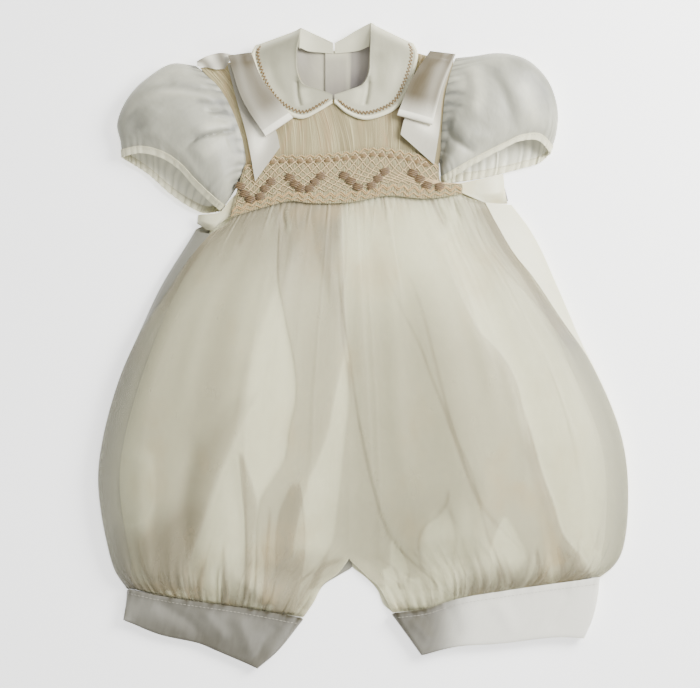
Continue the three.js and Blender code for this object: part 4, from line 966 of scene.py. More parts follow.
legCuffs = {
    "left": {
        "head": [(-43.9, -197.4), (-81.4, -190.7), (-136.4, -182.9), (-170.3, -176.5)],
        "foot": [(-76.7, -232.6), (-106.9, -219.6), (-118.4, -214.8), (-148, -208), (-173, -197.6)],
        "inner": [(-43.9, -197.4), (-61.9, -219.8), (-76.7, -232.6)],
        "outer": [(-170.3, -176.5), (-171, -185), (-173, -197.6)],
    },
    "right": {
        "head": [(21, -193.9), (44.3, -190.9), (67, -183.7), (104, -177.4), (170.2, -168.1)],
        "foot": [(42.1, -223), (67, -216.8), (98.3, -214.6), (139.6, -210), (159, -210.8)],
        "inner": [(21, -193.9), (29.9, -206), (42.1, -223)],
        "outer": [(170.2, -168.1), (169, -180), (165, -197), (159, -210.8)],
    },
}
cuffCreases = {
    "left": [
        {"along": [(-150, -184), (-128, -198), (-112, -214)], "width": 5, "rise": -1.1, "start": 0.1, "end": 0.3},
        {"along": [(-92, -192), (-84, -210), (-80, -226)], "width": 5, "rise": 1.2},
        {"along": [(-60, -200), (-72, -214), (-78, -228)], "width": 4, "rise": -0.9},
        {"along": [(-118, -188), (-106, -202), (-98, -214)], "width": 4, "rise": 0.8},
    ],
    "right": [
        {"along": [(60, -186), (66, -200), (66, -214)], "width": 5, "rise": -1.0},
        {"along": [(92, -182), (104, -196), (108, -212)], "width": 5, "rise": 0.8},
        {"along": [(150, -174), (140, -192), (132, -208)], "width": 5, "rise": -0.7},
        {"along": [(34, -196), (44, -206), (50, -216)], "width": 4, "rise": 0.9},
    ],
}


cuffCuts = {"left": {"flat": (271, 44), "area": 8200, "held": "laid"},
            "right": {"flat": (316, 44), "area": 10500, "held": "laid"}}

# How much higher a cuff's front lies at its seam than at its hem
cuffLean = {"left": 5.0, "right": 2.0}


def legCuff(key):
    cut = panelOf(legCuffs[key])
    bottom = sheetThickness["cuff"] / 2 + 0.05
    heights = {"top": same(romper["cuffTop"]), "bottom": same(bottom), "end": same((romper["cuffTop"] + bottom) / 2)}
    surface = tubeSurface(cut, cut, heights, False)
    turn, down = spread(np.arange(150) / 150, np.concatenate([[0, 0.015], np.linspace(0.04, 0.96, 24), [0.985, 1]]))
    points = surface(turn, down)
    isFront = (turn > 0.03) & (turn < 0.47)
    fromSeam = lengthsAlong(points, 0)
    across = (1 - np.cos(turn * 2 * math.pi)) / 2
    tucks = gathers(gatherSpec[key]["seed"] + 1, gatherSpec[key]["cuff"], (4, 11), 30)(across, fromSeam)
    height = creases(points[..., 0], points[..., 1], cuffCreases[key])
    edge = -0.5 * (np.exp(-((down - 0.0) / 0.02) ** 2) + np.exp(-((1 - down) / 0.02) ** 2))
    lean = cuffLean[key] * smooth(np.minimum(turn, 0.5 - turn) * 2, 0.02, 0.2)
    points[..., 2] += np.where(isFront, height + tucks * 0.4 + edge + (0.35 - down) * lean, 0)
    lap = isFront * (1 - smooth(down, 0, 0.12))
    points[..., 1] += 1.5 * lap
    points[..., 2] += 0.7 * lap
    # painted shade: the left cuff, and the inner end of the right cuff, are coloured deeper where the light falls
    # weakly
    turned = 0.8 - 0.06 * smooth(-points[..., 0], 110, 165) + 0.1 * smooth(down, 0.4, 0.9) if key == "left" \
        else 0.88 * (1 - smooth(points[..., 0], 46, 84))
    made = cloth(f"cuff_{key}", points, sheetThickness["cuff"], finish["cuffSatin"], [f"leg_cuff_{key}"],
                 cuffCuts[key], closed=True, marks={"pliesAndPaintedShading": turned + 0.25 * tucks * np.exp(-fromSeam / 5)})
    top = points[np.argmin(np.abs(down[:, 0] - 0.09))][:75]
    top = top[(top[:, 2] > 5)]
    lift = sheetThickness["cuff"] / 2
    return made, addThreads(f"cuffStitch_{key}", stitches(top, 1.9, 0.9, 0.14, lift), finish["seamThread"])


for key in ("left", "right"):
    legCuff(key)
print("cuffs made")


# Sleeves and their bindings

sleeves = {
    "left": {
        "armhole": [(-121.8, 202), (-104.3, 184), (-92, 158), (-86.5, 131), (-92.5, 113.5)],
        "backArmhole": [(-121.8, 202), (-108, 184), (-97, 158), (-91, 131), (-92.5, 113.5)],
        "outline": [(-121.8, 202), (-138, 203.5), (-155, 193.5), (-170, 178), (-177.4, 159.6), (-175, 147),
                    (-174, 136)],
        "underarm": [(-92.5, 113.5), (-97.5, 105.5), (-103.5, 97.8)],
        "cuff": [(-174, 136), (-160, 138.5), (-144.4, 134.8), (-132.1, 126.7), (-120.8, 114.1), (-103.5, 97.8)],
        "backCuff": [(-174, 136), (-155.3, 123.8), (-141.5, 111.4), (-127.8, 101.7), (-116, 96.4), (-103.5, 97.8)],
    },
    "right": {
        "armhole": [(67, 207.6), (60.6, 181), (58.5, 160), (57, 145), (55.3, 132)],
        "backArmhole": [(67, 207.6), (64, 181), (62, 160), (59, 145), (55.3, 132)],
        "outline": [(67, 207.6), (80, 209), (95, 211), (108.7, 209.4), (120, 204.5), (133.4, 189.9), (139.8, 170),
                    (138.8, 152.6), (134.5, 139)],
        "underarm": [(55.3, 132), (55.8, 124.5), (57.3, 117.3)],
        "cuff": [(134.5, 139), (125.3, 147.6), (112, 147), (100.4, 141.8), (78, 130), (57.3, 117.3)],
        "backCuff": [(134.5, 139), (128, 132.9), (114.3, 128.6), (86.8, 121.9), (57.3, 117.3)],
    },
}
puff = [
    {"at": 0, "top": 12.4, "bottom": 2.4, "end": 6.6}, {"at": 0.18, "top": 18, "bottom": 1.1, "end": 7},
    {"at": 0.45, "top": 23, "bottom": 0.66, "end": 8.5}, {"at": 0.75, "top": 21, "bottom": 0.66, "end": 8},
    {"at": 1, "top": 15, "bottom": 1.6, "end": 6.5},
]
sleeveCreases = {
    "left": [
        {"along": [(-97, 175), (-121, 180), (-143, 181), (-164, 180)], "width": 5, "rise": 1.6,
         "steep": 0.6, "start": 0.1},
        {"along": [(-99, 169), (-106, 167.5), (-114, 168)], "width": 2.2, "rise": -1.5, "steep": 0.5, "start": 0.02},
        {"along": [(-91, 163), (-99, 161.5), (-108, 163)], "width": 2.2, "rise": -1.4, "steep": 0.5, "start": 0.02},
        {"along": [(-89, 154.5), (-106, 151), (-121, 146.5), (-129, 138)], "width": 2.6, "rise": -2.4, "steep": 0.4,
         "start": 0.02},
        {"along": [(-94, 157), (-108, 155), (-124, 151)], "width": 5, "rise": 1.3, "start": 0.1},
        {"along": [(-96, 146), (-110, 141), (-122, 132)], "width": 9, "rise": 1.2, "start": 0.1},
        {"along": [(-166, 170), (-162, 160), (-160, 150)], "width": 7, "rise": -1.0},
        {"along": [(-107, 183), (-114, 184.5), (-124, 184)], "width": 2.4, "rise": -1.2, "steep": 0.5, "start": 0.02},
        {"along": [(-112, 190), (-126, 191), (-140, 189)], "width": 5, "rise": 1.0, "start": 0.1},
        {"along": [(-146, 172), (-152, 156), (-150, 142)], "width": 8, "rise": 0.9},
    ],
    "right": [
        {"along": [(70, 205), (78, 196), (82, 182), (78, 168), (70, 158)], "width": 6, "rise": 1.4, "start": 0.1},
        {"along": [(84, 206), (94, 192), (102, 176), (107, 160), (108, 146)], "width": 5, "rise": -0.9, "steep": 0.6,
         "start": 0.4, "end": 0.3},
        {"along": [(92, 206), (103, 192), (112, 174), (117, 152)], "width": 8, "rise": 1.0},
        {"along": [(58, 160), (63, 150), (70, 144), (82, 136)], "width": 3.0, "rise": -1.3, "steep": 0.5,
         "start": 0.02, "end": 0.3},
        {"along": [(60, 168), (68, 156), (80, 146)], "width": 6, "rise": 1.2, "start": 0.1},
        {"along": [(60, 184), (67, 181), (74, 181)], "width": 1.8, "rise": -0.9, "steep": 0.6, "start": 0.02},
        {"along": [(59, 176), (66, 172), (72, 172)], "width": 1.8, "rise": -0.9, "steep": 0.6, "start": 0.02},
        {"along": [(120, 198), (128, 182), (131, 164), (128, 150)], "width": 8, "rise": -1.4},
        {"along": [(76, 150), (84, 148), (92, 150)], "width": 4, "rise": 0.8},
    ],
}
sleeveCut = {"flat": (300, 95), "area": 17200, "held": "gathered"}
sleeveBindingCut = {"flat": (202, 11), "area": 1100, "held": "folded"}
# Soft shading of the sleeve cloth along its folds
sleeveTones = {
    "left": [
        {"along": [(-168, 168), (-163, 160), (-158, 152)], "width": 7, "rise": 0.2},
        {"along": [(-160, 184), (-130, 186), (-106, 180)], "width": 3, "rise": 0.18},
        {"along": [(-160, 178), (-130, 180), (-106, 176)], "width": 3, "rise": -0.22},
        {"along": [(-100, 174), (-110, 174), (-122, 176)], "width": 2.4, "rise": 0.26, "start": 0.02},
        {"along": [(-97, 168), (-106, 167), (-112, 168)], "width": 2.0, "rise": 0.26, "start": 0.02},
        {"along": [(-92, 156), (-104, 153), (-116, 149), (-124, 142)], "width": 2.0, "rise": 0.3, "start": 0.02},
        {"along": [(-92, 160), (-104, 158), (-118, 156)], "width": 4, "rise": -0.3},
        {"along": [(-96, 148), (-108, 142), (-118, 134)], "width": 6, "rise": -0.25},
        {"along": [(-120, 200), (-140, 196), (-156, 182)], "width": 10, "rise": -0.15},
        {"along": [(-150, 148), (-130, 134), (-112, 116)], "width": 8, "rise": -0.15},
    ],
    "right": [
        {"along": [(74, 204), (80, 192), (82, 178), (76, 162)], "width": 5, "rise": -0.35},
        {"along": [(90, 204), (98, 190), (105, 172), (108, 152)], "width": 5, "rise": 0.16},
        {"along": [(60, 164), (66, 152), (76, 144), (86, 138)], "width": 2.4, "rise": 0.2, "start": 0.02},
        {"along": [(60, 184), (67, 181), (74, 181)], "width": 1.6, "rise": 0.2, "start": 0.02},
        {"along": [(59, 176), (66, 172), (72, 172)], "width": 1.6, "rise": 0.2, "start": 0.02},
        {"along": [(100, 208), (116, 200), (128, 184), (134, 164)], "width": 10, "rise": 0.2},
        {"along": [(112, 190), (120, 172), (122, 154)], "width": 6, "rise": -0.2},
        {"along": [(62, 196), (70, 190), (74, 180)], "width": 4, "rise": -0.2},
        {"along": [(62, 140), (74, 136), (90, 138)], "width": 6, "rise": -0.2},
    ],
}
sleeveGathers = {
    "left": {"seed": 41, "armhole": 34, "cuff": 34}, "right": {"seed": 57, "armhole": 34, "cuff": 34},
}


def sleeveSurface(key):
    spec = sleeves[key]
    inner, outer = line(spec["outline"]), line(spec["underarm"])
    heights = {part: readTable(puff, part) for part in ("top", "bottom", "end")}
    base = tubeSurface(panel(line(spec["armhole"]), line(spec["cuff"]), inner, outer),
                       panel(line(spec["backArmhole"]), line(spec["backCuff"]), inner, outer), heights, True)
    turns = np.arange(200) / 200
    marks = base(*spread(turns, np.linspace(0, 1, 13)))
    total = lengthsAlong(marks, 0)[-1]
    bindingAt = lambda turn, length: 1 - length / np.interp(turn, turns, total, period=1)
    return base, bindingAt


def sleevePoints(key, turn, down):
    base, _ = sleeveSurface(key)
    points = base(turn, down)
    spec = sleeveGathers[key]
    # the armhole seam laps over the bodice
    inward = (1 if key == "left" else -1) * 1.8 * (1 - smooth(down, 0, 0.1))
    points[..., 0] += inward * (turn < 0.5) * np.abs(np.sin(turn * 2 * math.pi)) ** 0.5
    length = np.interp(turn[0], np.linspace(0, 1, 9), [70, 70, 55, 30, 18, 30, 55, 70, 70])
    fromArm, fromCuff = down * length, (1 - down) * length
    front = (turn < 0.5)
    opened = np.abs(np.sin(turn * 2 * math.pi))
    rise = creases(points[..., 0], points[..., 1], sleeveCreases[key]) * smooth(opened, 0.05, 0.5)
    rise = rise * smooth(down, 0.0, 0.18) * (1 - smooth(down, 0.75, 0.95))
    armhole = gathers(spec["seed"], spec["armhole"], (3, 12), 18)(turn, fromArm)
    cuff = gathers(spec["seed"] + 1, spec["cuff"], (4, 12), 16)(turn, fromCuff)
    hump = armhole * 0.8 * smooth(down, 0, 0.04) + cuff * 0.9
    free = smooth(points[..., 2], 1.2, 4)
    behind = gathers(spec["seed"] + 2, 44, (8, 26), 30)(turn, fromCuff) * smooth(down, 0.45, 0.7)
    points[..., 2] += np.where(front, (rise + hump) * free, hump * 0.5 * free + behind * 1.7 * smooth(opened, 0.1, 0.4))
    # painted shade: darker in the valleys of the gathers and along the folds; the inside of the mouth is painted
    # lighter and glows, as painted light
    valleyShade = (1 - np.clip(armhole * 1.7, 0, 1)) * np.exp(-(fromArm / 5) ** 2) \
        + (1 - np.clip(cuff * 1.7, 0, 1)) * np.exp(-(fromCuff / 4) ** 2)
    outsideTone = 0.64 + 0.4 * valleyShade + creases(points[..., 0], points[..., 1], sleeveTones[key])
    insideShading = 0.05 + 0.35 * (1 - np.clip(behind * 2, 0, 1)) * smooth(down, 0.4, 0.8)
    tone = np.where(front, outsideTone, insideShading)
    glow = np.where(front, 0.0, 0.34 * smooth(down, 0.35, 0.75))
    return points, tone, glow


def sleeve(key):
    _, bindingAt = sleeveSurface(key)
    turn, share = spread(np.arange(230) / 230, np.linspace(0, 1, 60))
    down = share * bindingAt(turn, romper["bindingWidth"] - 0.2)
    points, tone, glow = sleevePoints(key, turn, down)
    return cloth(f"sleeveCloth_{key}", points, 0.45, finish["sleeve"], [f"sleeve_{key}"],
                 sleeveCut, closed=True,
                 marks={"pliesAndPaintedShading": tone, "glow": glow})


def sleeveBinding(key):
    _, bindingAt = sleeveSurface(key)
    turn, share = spread(np.arange(200) / 200, np.linspace(0, 1, 9))
    down = blend(bindingAt(turn, romper["bindingWidth"]), 1, share)
    points, _, _ = sleevePoints(key, turn, down)
    made = cloth(f"sleeveBinding_{key}", points, 1.6, finish["piping"], [f"sleeve_binding_{key}"],
                 sleeveBindingCut, closed=True, marks={"pliesAndPaintedShading": 0.35 * (1 - smooth(share, 0, 0.3))})
    edge = points[2].copy()
    edge = np.concatenate([edge, edge[:1]])
    over = points[2] - points[1]
    normal = np.cross(np.roll(points[2], -1, 0) - np.roll(points[2], 1, 0), over)
    normal /= np.linalg.norm(normal, axis=1, keepdims=True)
    centre = points[2].mean(0)
    normal *= np.sign(np.einsum("ij,ij->i", normal, points[2] - centre))[:, None]
    path = edge + np.concatenate([normal, normal[:1]]) * 0.85
    keep = path[:, 2] > 2
    row = addThreads(f"bindingStitch_{key}", stitches(path[keep], 1.5, 0.8, 0.13), finish["seamThread"])
    return made, row


for key in ("left", "right"):
    sleeve(key)
    sleeveBinding(key)
print("sleeves made")


# Bodice: the back, the side panels, the pleated chest and the smocked band

bodice = {
    "frontTop": [(-117.5, 200), (-96, 204), (-74, 210.5), (-56, 217), (-51.5, 204), (-44, 184), (-21.5, 177),
                 (1, 184), (8, 206), (12, 220.5), (30, 213.5), (48, 208.5), (65, 205.5)],
    "frontFoot": [(-92, 98.5), (-70, 104), (-45, 108.5), (-11, 108), (17, 113), (45, 111.5), (58, 113)],
    "frontLeft": [(-117.5, 200), (-102.8, 183.6), (-91, 158), (-85.4, 131), (-87.5, 112), (-92, 98.5)],
    "frontRight": [(65, 205.5), (59.7, 181), (57.6, 160), (56, 145), (54.2, 131), (54.2, 120), (58, 113)],
    "bandHead": [(-85.4, 129.5), (-63, 137), (-43.7, 137.5), (-9.7, 140.4), (8, 143), (35.6, 139), (54.2, 130)],
    "bandFoot": [(-96, 92.2), (-68, 100.5), (-52, 104), (-38, 102.5), (-9.7, 103.1), (17, 107.8), (45, 105.8),
                 (70.6, 109)],
    "bandLeft": [(-85.4, 129.5), (-90.6, 112.8), (-96, 92.2)],
    "bandRight": [(54.2, 130), (55.2, 118.4), (62, 116.4), (70.6, 116), (70.6, 109)],
    "backHead": {
        "left": [(-13, 213.5), (-32, 213.8), (-46, 216), (-58, 215), (-74, 209), (-96, 203.5), (-117.5, 199.5)],
        "right": [(-27.5, 213.5), (-6, 214.4), (6, 218), (18, 216.5), (31, 210.4), (48, 206.6), (65, 205)],
    },
    "backSide": {
        "left": [(-117.5, 199.5), (-106.6, 183.5), (-95.8, 158), (-89.9, 131), (-91.2, 112.4), (-103.2, 96),
                 (-121, 88.4)],
        "right": [(65, 205), (62.8, 181), (60.8, 160), (57.4, 145), (53, 131), (52.4, 119), (56, 110.6), (74, 112.6),
                  (99, 120), (105, 105)],
    },
    "backFoot": {
        "left": [(-13, 99), (-60, 95.5), (-100, 88.5), (-121, 88.4)],
        "right": [(-27.5, 99), (30, 101.5), (75, 101.5), (105, 105)],
    },
    "backEdge": {"left": -13, "right": -27.5},
}


def shoulderSlope(y):
    return smooth(y, 192, 218)


def broken(points):
    # straight lines through points, read by the share of the width
    at = np.array(points, float)
    share = (at[:, 0] - at[0, 0]) / (at[-1, 0] - at[0, 0])
    return lambda t: np.stack([np.interp(t, share, at[:, 0]), np.interp(t, share, at[:, 1]), np.zeros(np.shape(t))], -1)


chestCut = {"flat": (245, 110), "area": 19000, "held": "gathered"}
chestPleats = {"count": 112, "depth": 0.3, "thickness": 0.4, "seed": 5, "grid": (480, 44)}


def chestPanel():
    cut = panel(broken(bodice["frontTop"]), line(bodice["frontFoot"]), line(bodice["frontLeft"]),
                line(bodice["frontRight"]))
    u, v = spread(*chestPleats["grid"])
    points = cut(u, v)
    y = points[..., 1]
    rng = np.random.default_rng(chestPleats["seed"])
    count = chestPleats["count"]
    edges = (np.arange(count + 1) + rng.uniform(-0.3, 0.3, count + 1)) / count
    tall = rng.uniform(0.3, 1, count)
    drift = (uneven(8, 34)(u) - 0.5) * 0.022 * np.sin(v * 7 + uneven(9, 22)(u) * 6)
    share = np.clip(u + drift, 0, 1)
    i = np.clip(np.searchsorted(edges, share) - 1, 0, count - 1)
    t = np.clip((share - edges[i]) / (edges[i + 1] - edges[i]), 0, 1)
    come = 0.25 + 0.75 * smooth(np.sin(v * 9 + uneven(31, 60)(u) * 14), -0.6, 0.7)
    ridge = np.sin(math.pi * t) ** 0.8 * tall[i] * come
    atSide = 1 - smooth(u, 0.08, 0.2)
    height = romper["frontLevel"] - 3 * shoulderSlope(y) + 0.25 + ridge * chestPleats["depth"] * (1 + atSide)
    height = height + 0.5 * (uneven(12, 9)(u) - 0.5) * smooth(v, 0.2, 0.5)
    # painted light: pleat ridges are coloured lighter and their hollows deeper; the strip by the left edge is painted
    # lighter and glows, against the shade cast over it
    pliesAndPaintedShading = 0.66 - ridge * (0.6 + 0.5 * atSide) + 0.5 * (uneven(33, 30)(u) - 0.5) - 0.1 * atSide
    return cloth("chestPanel", withHeight(points, height), chestPleats["thickness"], finish["pleated"],
                 ["chest_panel"], {**chestCut, "on": ["backBodice_left", "backBodice_right"]},
                 marks={"pliesAndPaintedShading": np.clip(pliesAndPaintedShading, 0, 1), "warm": np.zeros_like(u),
                        "glow": 0.2 * (1 - smooth(u, 0.08, 0.16))})


chestPanel()

sidePanels = {
    "left": {"head": [(-89.5, 111.4), (-96.6, 104.4), (-103.2, 96.4), (-119.6, 94.6)],
             "foot": [(-96.4, 93), (-101.5, 89.4), (-109.8, 83.4), (-120.4, 88.4)],
             "inner": [(-89.5, 111.4), (-96.4, 93)], "outer": [(-119.6, 94.6), (-120.4, 88.4)]},
    "right": {"head": [(61, 115.8), (70.2, 117.2), (86.8, 120.8), (101.2, 124.6)],
              "foot": [(72, 109.6), (80, 106), (90, 102.8), (104.4, 103)],
              "inner": [(61, 115.8), (72, 109.6)], "outer": [(101.2, 124.6), (102.4, 112), (104.4, 103)]},
}


sidePanelCuts = {
    "left": {"flat": (40, 20), "area": 340, "held": "laid"}, "right": {"flat": (44, 22), "area": 640, "held": "laid"},
}
backBodiceCuts = {
    "left": {"flat": (109, 134), "area": 10400, "held": "laid"},
    "right": {"flat": (133, 158), "area": 11200, "held": "laid"},
}


def sidePanel(key):
    u, v = spread(np.sin(np.linspace(0, 1, 40) * math.pi / 2) ** 0.85, 24)
    points = panelOf(sidePanels[key])(u, v)
    seat = romper["backLevel"] + 0.9
    height = blend(seat, romper["frontLevel"], np.sqrt(np.maximum(0, 1 - u ** 4)))
    height = np.maximum(height - 4.5 * smooth(v, 0.6, 1) * smooth(u, 0.25, 0.9), seat)
    height = height + 0.35 * np.sin(u * 9 + v * 3) * (1 - u) * smooth(v, 0, 0.3) * (1 - smooth(v, 0.7, 1))
    return cloth(f"sidePanel_{key}", withHeight(points, height), 0.5, finish["satin"],
                 [f"side_panel_{key}"], {**sidePanelCuts[key], "on": [f"backBodice_{key}"]},
                 marks={"pliesAndPaintedShading": 0.5 * np.exp(-((1 - v) / 0.12) ** 2), "warm": np.full_like(u, 0.22)})


def backBodice(key):
    edge = bodice["backEdge"][key]
    head, foot = bodice["backHead"][key], bodice["backFoot"][key]
    cut = panel(line(head), line(foot), line([head[0], foot[0]]), line(bodice["backSide"][key]))
    u, v = spread(60, 60)
    points = cut(u, v)
    x, y = points[..., 0], points[..., 1]
    lap = 1.5 * (1 - smooth(x, edge + 18, edge + 32)) if key == "right" else 0
    rise = 2.6 * shoulderSlope(y) * smooth(np.abs(x - edge), 26, 40)
    ripple = (uneven(61, 7)(u) - 0.5) * 0.5 * np.sin(v * 4 + 1) * smooth(u, 0.05, 0.2)
    # painted shade: the back is coloured deeper beside and below the collar's rolled edges, where the collar shades it,
    # and right of the placket; the glow mark lightens parts of it as painted light
    if key == "right":
        pliesAndPaintedShading = 0.1 + 0.3 * (1 - smooth(y, 182, 205)) + 0.7 * smooth(x, -11, -8.5) \
            + 0.35 * (1 - smooth(x, -14, -10)) * (1 - smooth(y, 205, 212))
    else:
        pliesAndPaintedShading = 0.35 + 0.3 * (1 - smooth(x, -44, -30))
    glow = 0.1 * smooth(y, 176, 186) + 0.22 * smooth(x, -8, 0) + 0.14 * (1 - smooth(x, -46, -40))
    return cloth(f"backBodice_{key}", withHeight(points, romper["backLevel"] + lap + rise + ripple), 0.6,
                 finish["inside"], [f"back_bodice_{key}"], backBodiceCuts[key],
                 marks={"pliesAndPaintedShading": pliesAndPaintedShading, "glow": glow})


for key in ("left", "right"):
    sidePanel(key)
    backBodice(key)
print("bodice made")


# Smocked band: gathered reeds, a trellis of thread, cable rows and leaf knots

smocking = {
    "length": 166.0,  # along the band, in mm
    "reed": 1.7,  # width of one gathered reed
    "diamond": 7.5,  # width of a trellis diamond
    "rows": 9,  # half diamonds
    "trellisTop": 0.06, "trellisFoot": 0.80,
    "thread": 0.36, "cable": 0.42,
}
# The knots of each leaf spray, where they lie
sprays = [
    [(-88.6, 114.8), (-85.4, 109.4), (-81.2, 105.4), (-74.2, 107.4), (-70.6, 113), (-66.4, 117.8)],
    [(-52.8, 121), (-49.2, 116.4), (-45.4, 113.2), (-38.8, 113.2), (-34.9, 117.6), (-30.8, 121.8)],
    [(-13.8, 122.4), (-9.2, 118.6), (-4.1, 114.2), (5.7, 115.2), (10.5, 120.2), (15.3, 125.2)],
    [(35.4, 124.2), (40.4, 120), (45.6, 115.6), (54.6, 114.6)],
]

# Cable rows: how far down the band, how far they swing, and how many strands lie together
cableRows = [(0.04, 0.05, 1), (0.85, 0.075, 2), (0.95, 0.055, 1)]

bandSheet = {"flat": (190, 43), "area": 7600, "held": "gathered", "on": ["chestPanel"]}
bandCut = panel(line(bodice["bandHead"]), line(bodice["bandFoot"]), line(bodice["bandLeft"]), line(bodice["bandRight"]))


def trellisLevel(row):
    return blend(smocking["trellisTop"], smocking["trellisFoot"], row / smocking["rows"])


def bandHeight(across, down):
    # reeds stand up between the threads and are pinched where the trellis holds them
    reeds = smocking["length"] / smocking["reed"]
    wander = (uneven(71, 40)(across) - 0.5) * 0.5
    ridge = np.abs(np.sin(math.pi * (across * reeds + wander))) ** 0.7
    cells = across * smocking["length"] / smocking["diamond"]
    place = (down - smocking["trellisTop"]) / (smocking["trellisFoot"] - smocking["trellisTop"]) * smocking["rows"]
    near = np.minimum(np.abs((cells + place / 2) % 1 - 0.5), np.abs((cells - place / 2) % 1 - 0.5))
    puffed = smooth(near, 0.02, 0.22)
    inTrellis = smooth(place, -0.2, 0.1) * (1 - smooth(place, smocking["rows"] - 0.1, smocking["rows"] + 0.2))
    cell = blend(1.0, puffed, inTrellis)
    return ridge, cell


def smockedBand():
    u, v = spread(560, 44)
    ridge, cell = bandHeight(u, v)
    height = romper["bandLevel"] + 0.1 + ridge * blend(0.1, 0.32, cell) + cell * 0.5
    # painted shade: reeds are coloured lighter on their crests and deeper where the trellis pinches them
    pliesAndPaintedShading = np.clip(0.85 - 0.55 * ridge - 0.25 * cell + 0.35 * (uneven(77, 60)(u) - 0.5), 0, 1)
    return cloth("smockedBand", withHeight(bandCut(u, v), height), 0.4, finish["smocked"],
                 ["smocked_band"], bandSheet, marks={"pliesAndPaintedShading": pliesAndPaintedShading})


def bandPath(across, down, lift):
    across, down = np.asarray(across, float), np.asarray(down, float)
    return withHeight(bandCut(across, down), romper["bandLevel"] + 1.0 + lift)


def zigzag(row, phase, amplitude, level, lift, radius, width, first=0.012, last=0.99):
    steps = int((last - first) * smocking["length"] / width * 8)
    across = np.linspace(first, last, steps)
    wave = np.abs(((across * smocking["length"] / width + phase) % 1) * 2 - 1)
    wave = smooth(wave, 0.0, 1.0) * 0.35 + wave * 0.65
    wobble = (uneven(90 + row, 50)(across) - 0.5) * 0.02
    path = bandPath(across, level + amplitude * (wave - 0.5) + wobble, lift)
    path[:, 2] += 0.12 * np.cos(across * smocking["length"] / width * 4 * math.pi)
    return tubeMesh(path, radius, 6)


def bandThreads():
    pitch = trellisLevel(1) - trellisLevel(0)
    trellis = [zigzag(row, 0.5 * (row % 2), pitch, trellisLevel(row + 0.5), 0.3, smocking["thread"],
                      smocking["diamond"])
               for row in range(smocking["rows"])]
    addThreads("trellisThread", trellis, finish["creamThread"])
    cables = []
    for k, (level, swing, strands) in enumerate(cableRows):
        for strand in range(strands):
            cables.append(zigzag(20 + 4 * k + strand, 0.0, swing, level + strand * 0.026, 0.25,
                                 smocking["cable"], smocking["diamond"], 0.004, 0.996))
    addThreads("cableThread", cables, finish["peachThread"])


def knot(centre, direction, length, radius, strands):
    # straight stitches side by side, plump in the middle
    direction = np.array([*direction, 0.0]) / math.hypot(*direction)
    side = np.array([-direction[1], direction[0], 0])
    t = np.linspace(-0.5, 0.5, 9)
    made = []
    for k in np.arange(strands) - (strands - 1) / 2:
        path = centre + direction * (t[:, None] * length * (1 - 0.1 * abs(k)) + 0.25 * math.sin(k * 5)) \
            + side * (k * radius * 1.75)
        path[:, 2] += radius * (1.2 - 3.4 * t ** 2) - k * k * 0.14
        made.append(tubeMesh(path, radius * (1 - 2.2 * np.abs(t) ** 2.5), 7))
    return made


def bandKnots():
    level = romper["bandLevel"] + 1.35
    tubes = []
    for spray in sprays:
        for k, (x, y) in enumerate(spray):
            tilt = -0.3 if k < 3 else 0.3
            tubes += knot(np.array([x, y, level]), (1, tilt), 7.4, 0.72, 4)
    addThreads("leafKnots", tubes, finish["taupeThread"])
    small = []
    count = int(smocking["length"] / smocking["diamond"])
    for k in range(2, count + 1):
        across = (k + 0.5) * smocking["diamond"] / smocking["length"]
        if across < 0.96:
            small += knot(bandPath(across, 0.125, 0.1), (1, 0.1), 5.2, 0.5, 3)
    addThreads("rowKnots", small, finish["softTaupeThread"])


smockedBand()
bandThreads()
bandKnots()
print("smocking made")


# Collar with its zigzag embroidery and piping

collars = {
    "left": {
        "front": {
            "stand": [(-22.4, 182.5, 10.6), (-33, 187, 10.4), (-42.6, 191, 10.2), (-45.6, 199, 10), (-46.6, 208, 9.8),
                      (-45.8, 215, 9)],
            "roll": [(-22.4, 180.2, 14), (-33, 184.4, 15.2), (-43.6, 187.6, 15.8), (-47.8, 196, 15.8), (-48.6, 212, 15),
                     (-45, 228.8, 11)],
            "edge": [(-22.4, 177, 12.7), (-31.3, 171.4, 12.7), (-44, 165.8, 12.7), (-57, 170.8, 12.7),
                     (-68.2, 182, 12.7), (-75.2, 197, 12.7), (-78.2, 210, 12.1), (-75.8, 217.6, 7.4)],
        },
        "back": {
            "stand": [(-45.8, 215, 9), (-40, 213, 6), (-30, 212.2, 4.6), (-22, 211.6, 4.4)],
            "roll": [(-45, 228.8, 11), (-36, 225, 7.6), (-28, 221.5, 6.9), (-22, 218.6, 6.5)],
            "edge": [(-75.8, 217.6, 7.4), (-77.2, 207, 1.5), (-72, 190, 0.72), (-60, 175, 0.72), (-44, 169.6, 0.72),
                     (-28, 172.5, 0.72), (-22.5, 181, 0.72)],
        },
    },
    "right": {
        "front": {
            "stand": [(-20.8, 182.5, 10.6), (-10, 186.6, 10.4), (-1.4, 191, 10.2), (1.6, 199, 10), (3.4, 208, 9.8),
                      (4.2, 216, 9)],
            "roll": [(-20.8, 180.2, 14), (-9.5, 183.8, 15.2), (-0.4, 187.6, 15.8), (4, 196, 15.8), (5, 212, 15),
                     (5.6, 232.6, 11)],
            "edge": [(-20.8, 177, 12.7), (-12, 169.6, 12.7), (0, 165.2, 12.7), (14, 168.2, 12.7), (23.4, 174, 12.7),
                     (30.2, 186, 12.7), (34.8, 199, 12.7), (36.6, 211, 12.1), (33.8, 219.2, 7.4)],
        },
        "back": {
            "stand": [(4.2, 216, 9), (-3, 213.4, 6), (-12, 212.2, 4.8), (-20.6, 211.6, 4.6)],
            "roll": [(5.6, 232.6, 11), (-5, 227.5, 7.6), (-13, 222.6, 6.9), (-20.6, 218.6, 6.5)],
            "edge": [(33.8, 219.2, 7.4), (34.6, 208, 1.5), (29.5, 192, 0.72), (18, 176, 0.72), (2, 169.6, 0.72),
                     (-14, 172.5, 0.72), (-20.4, 181, 0.72)],
        },
    },
}
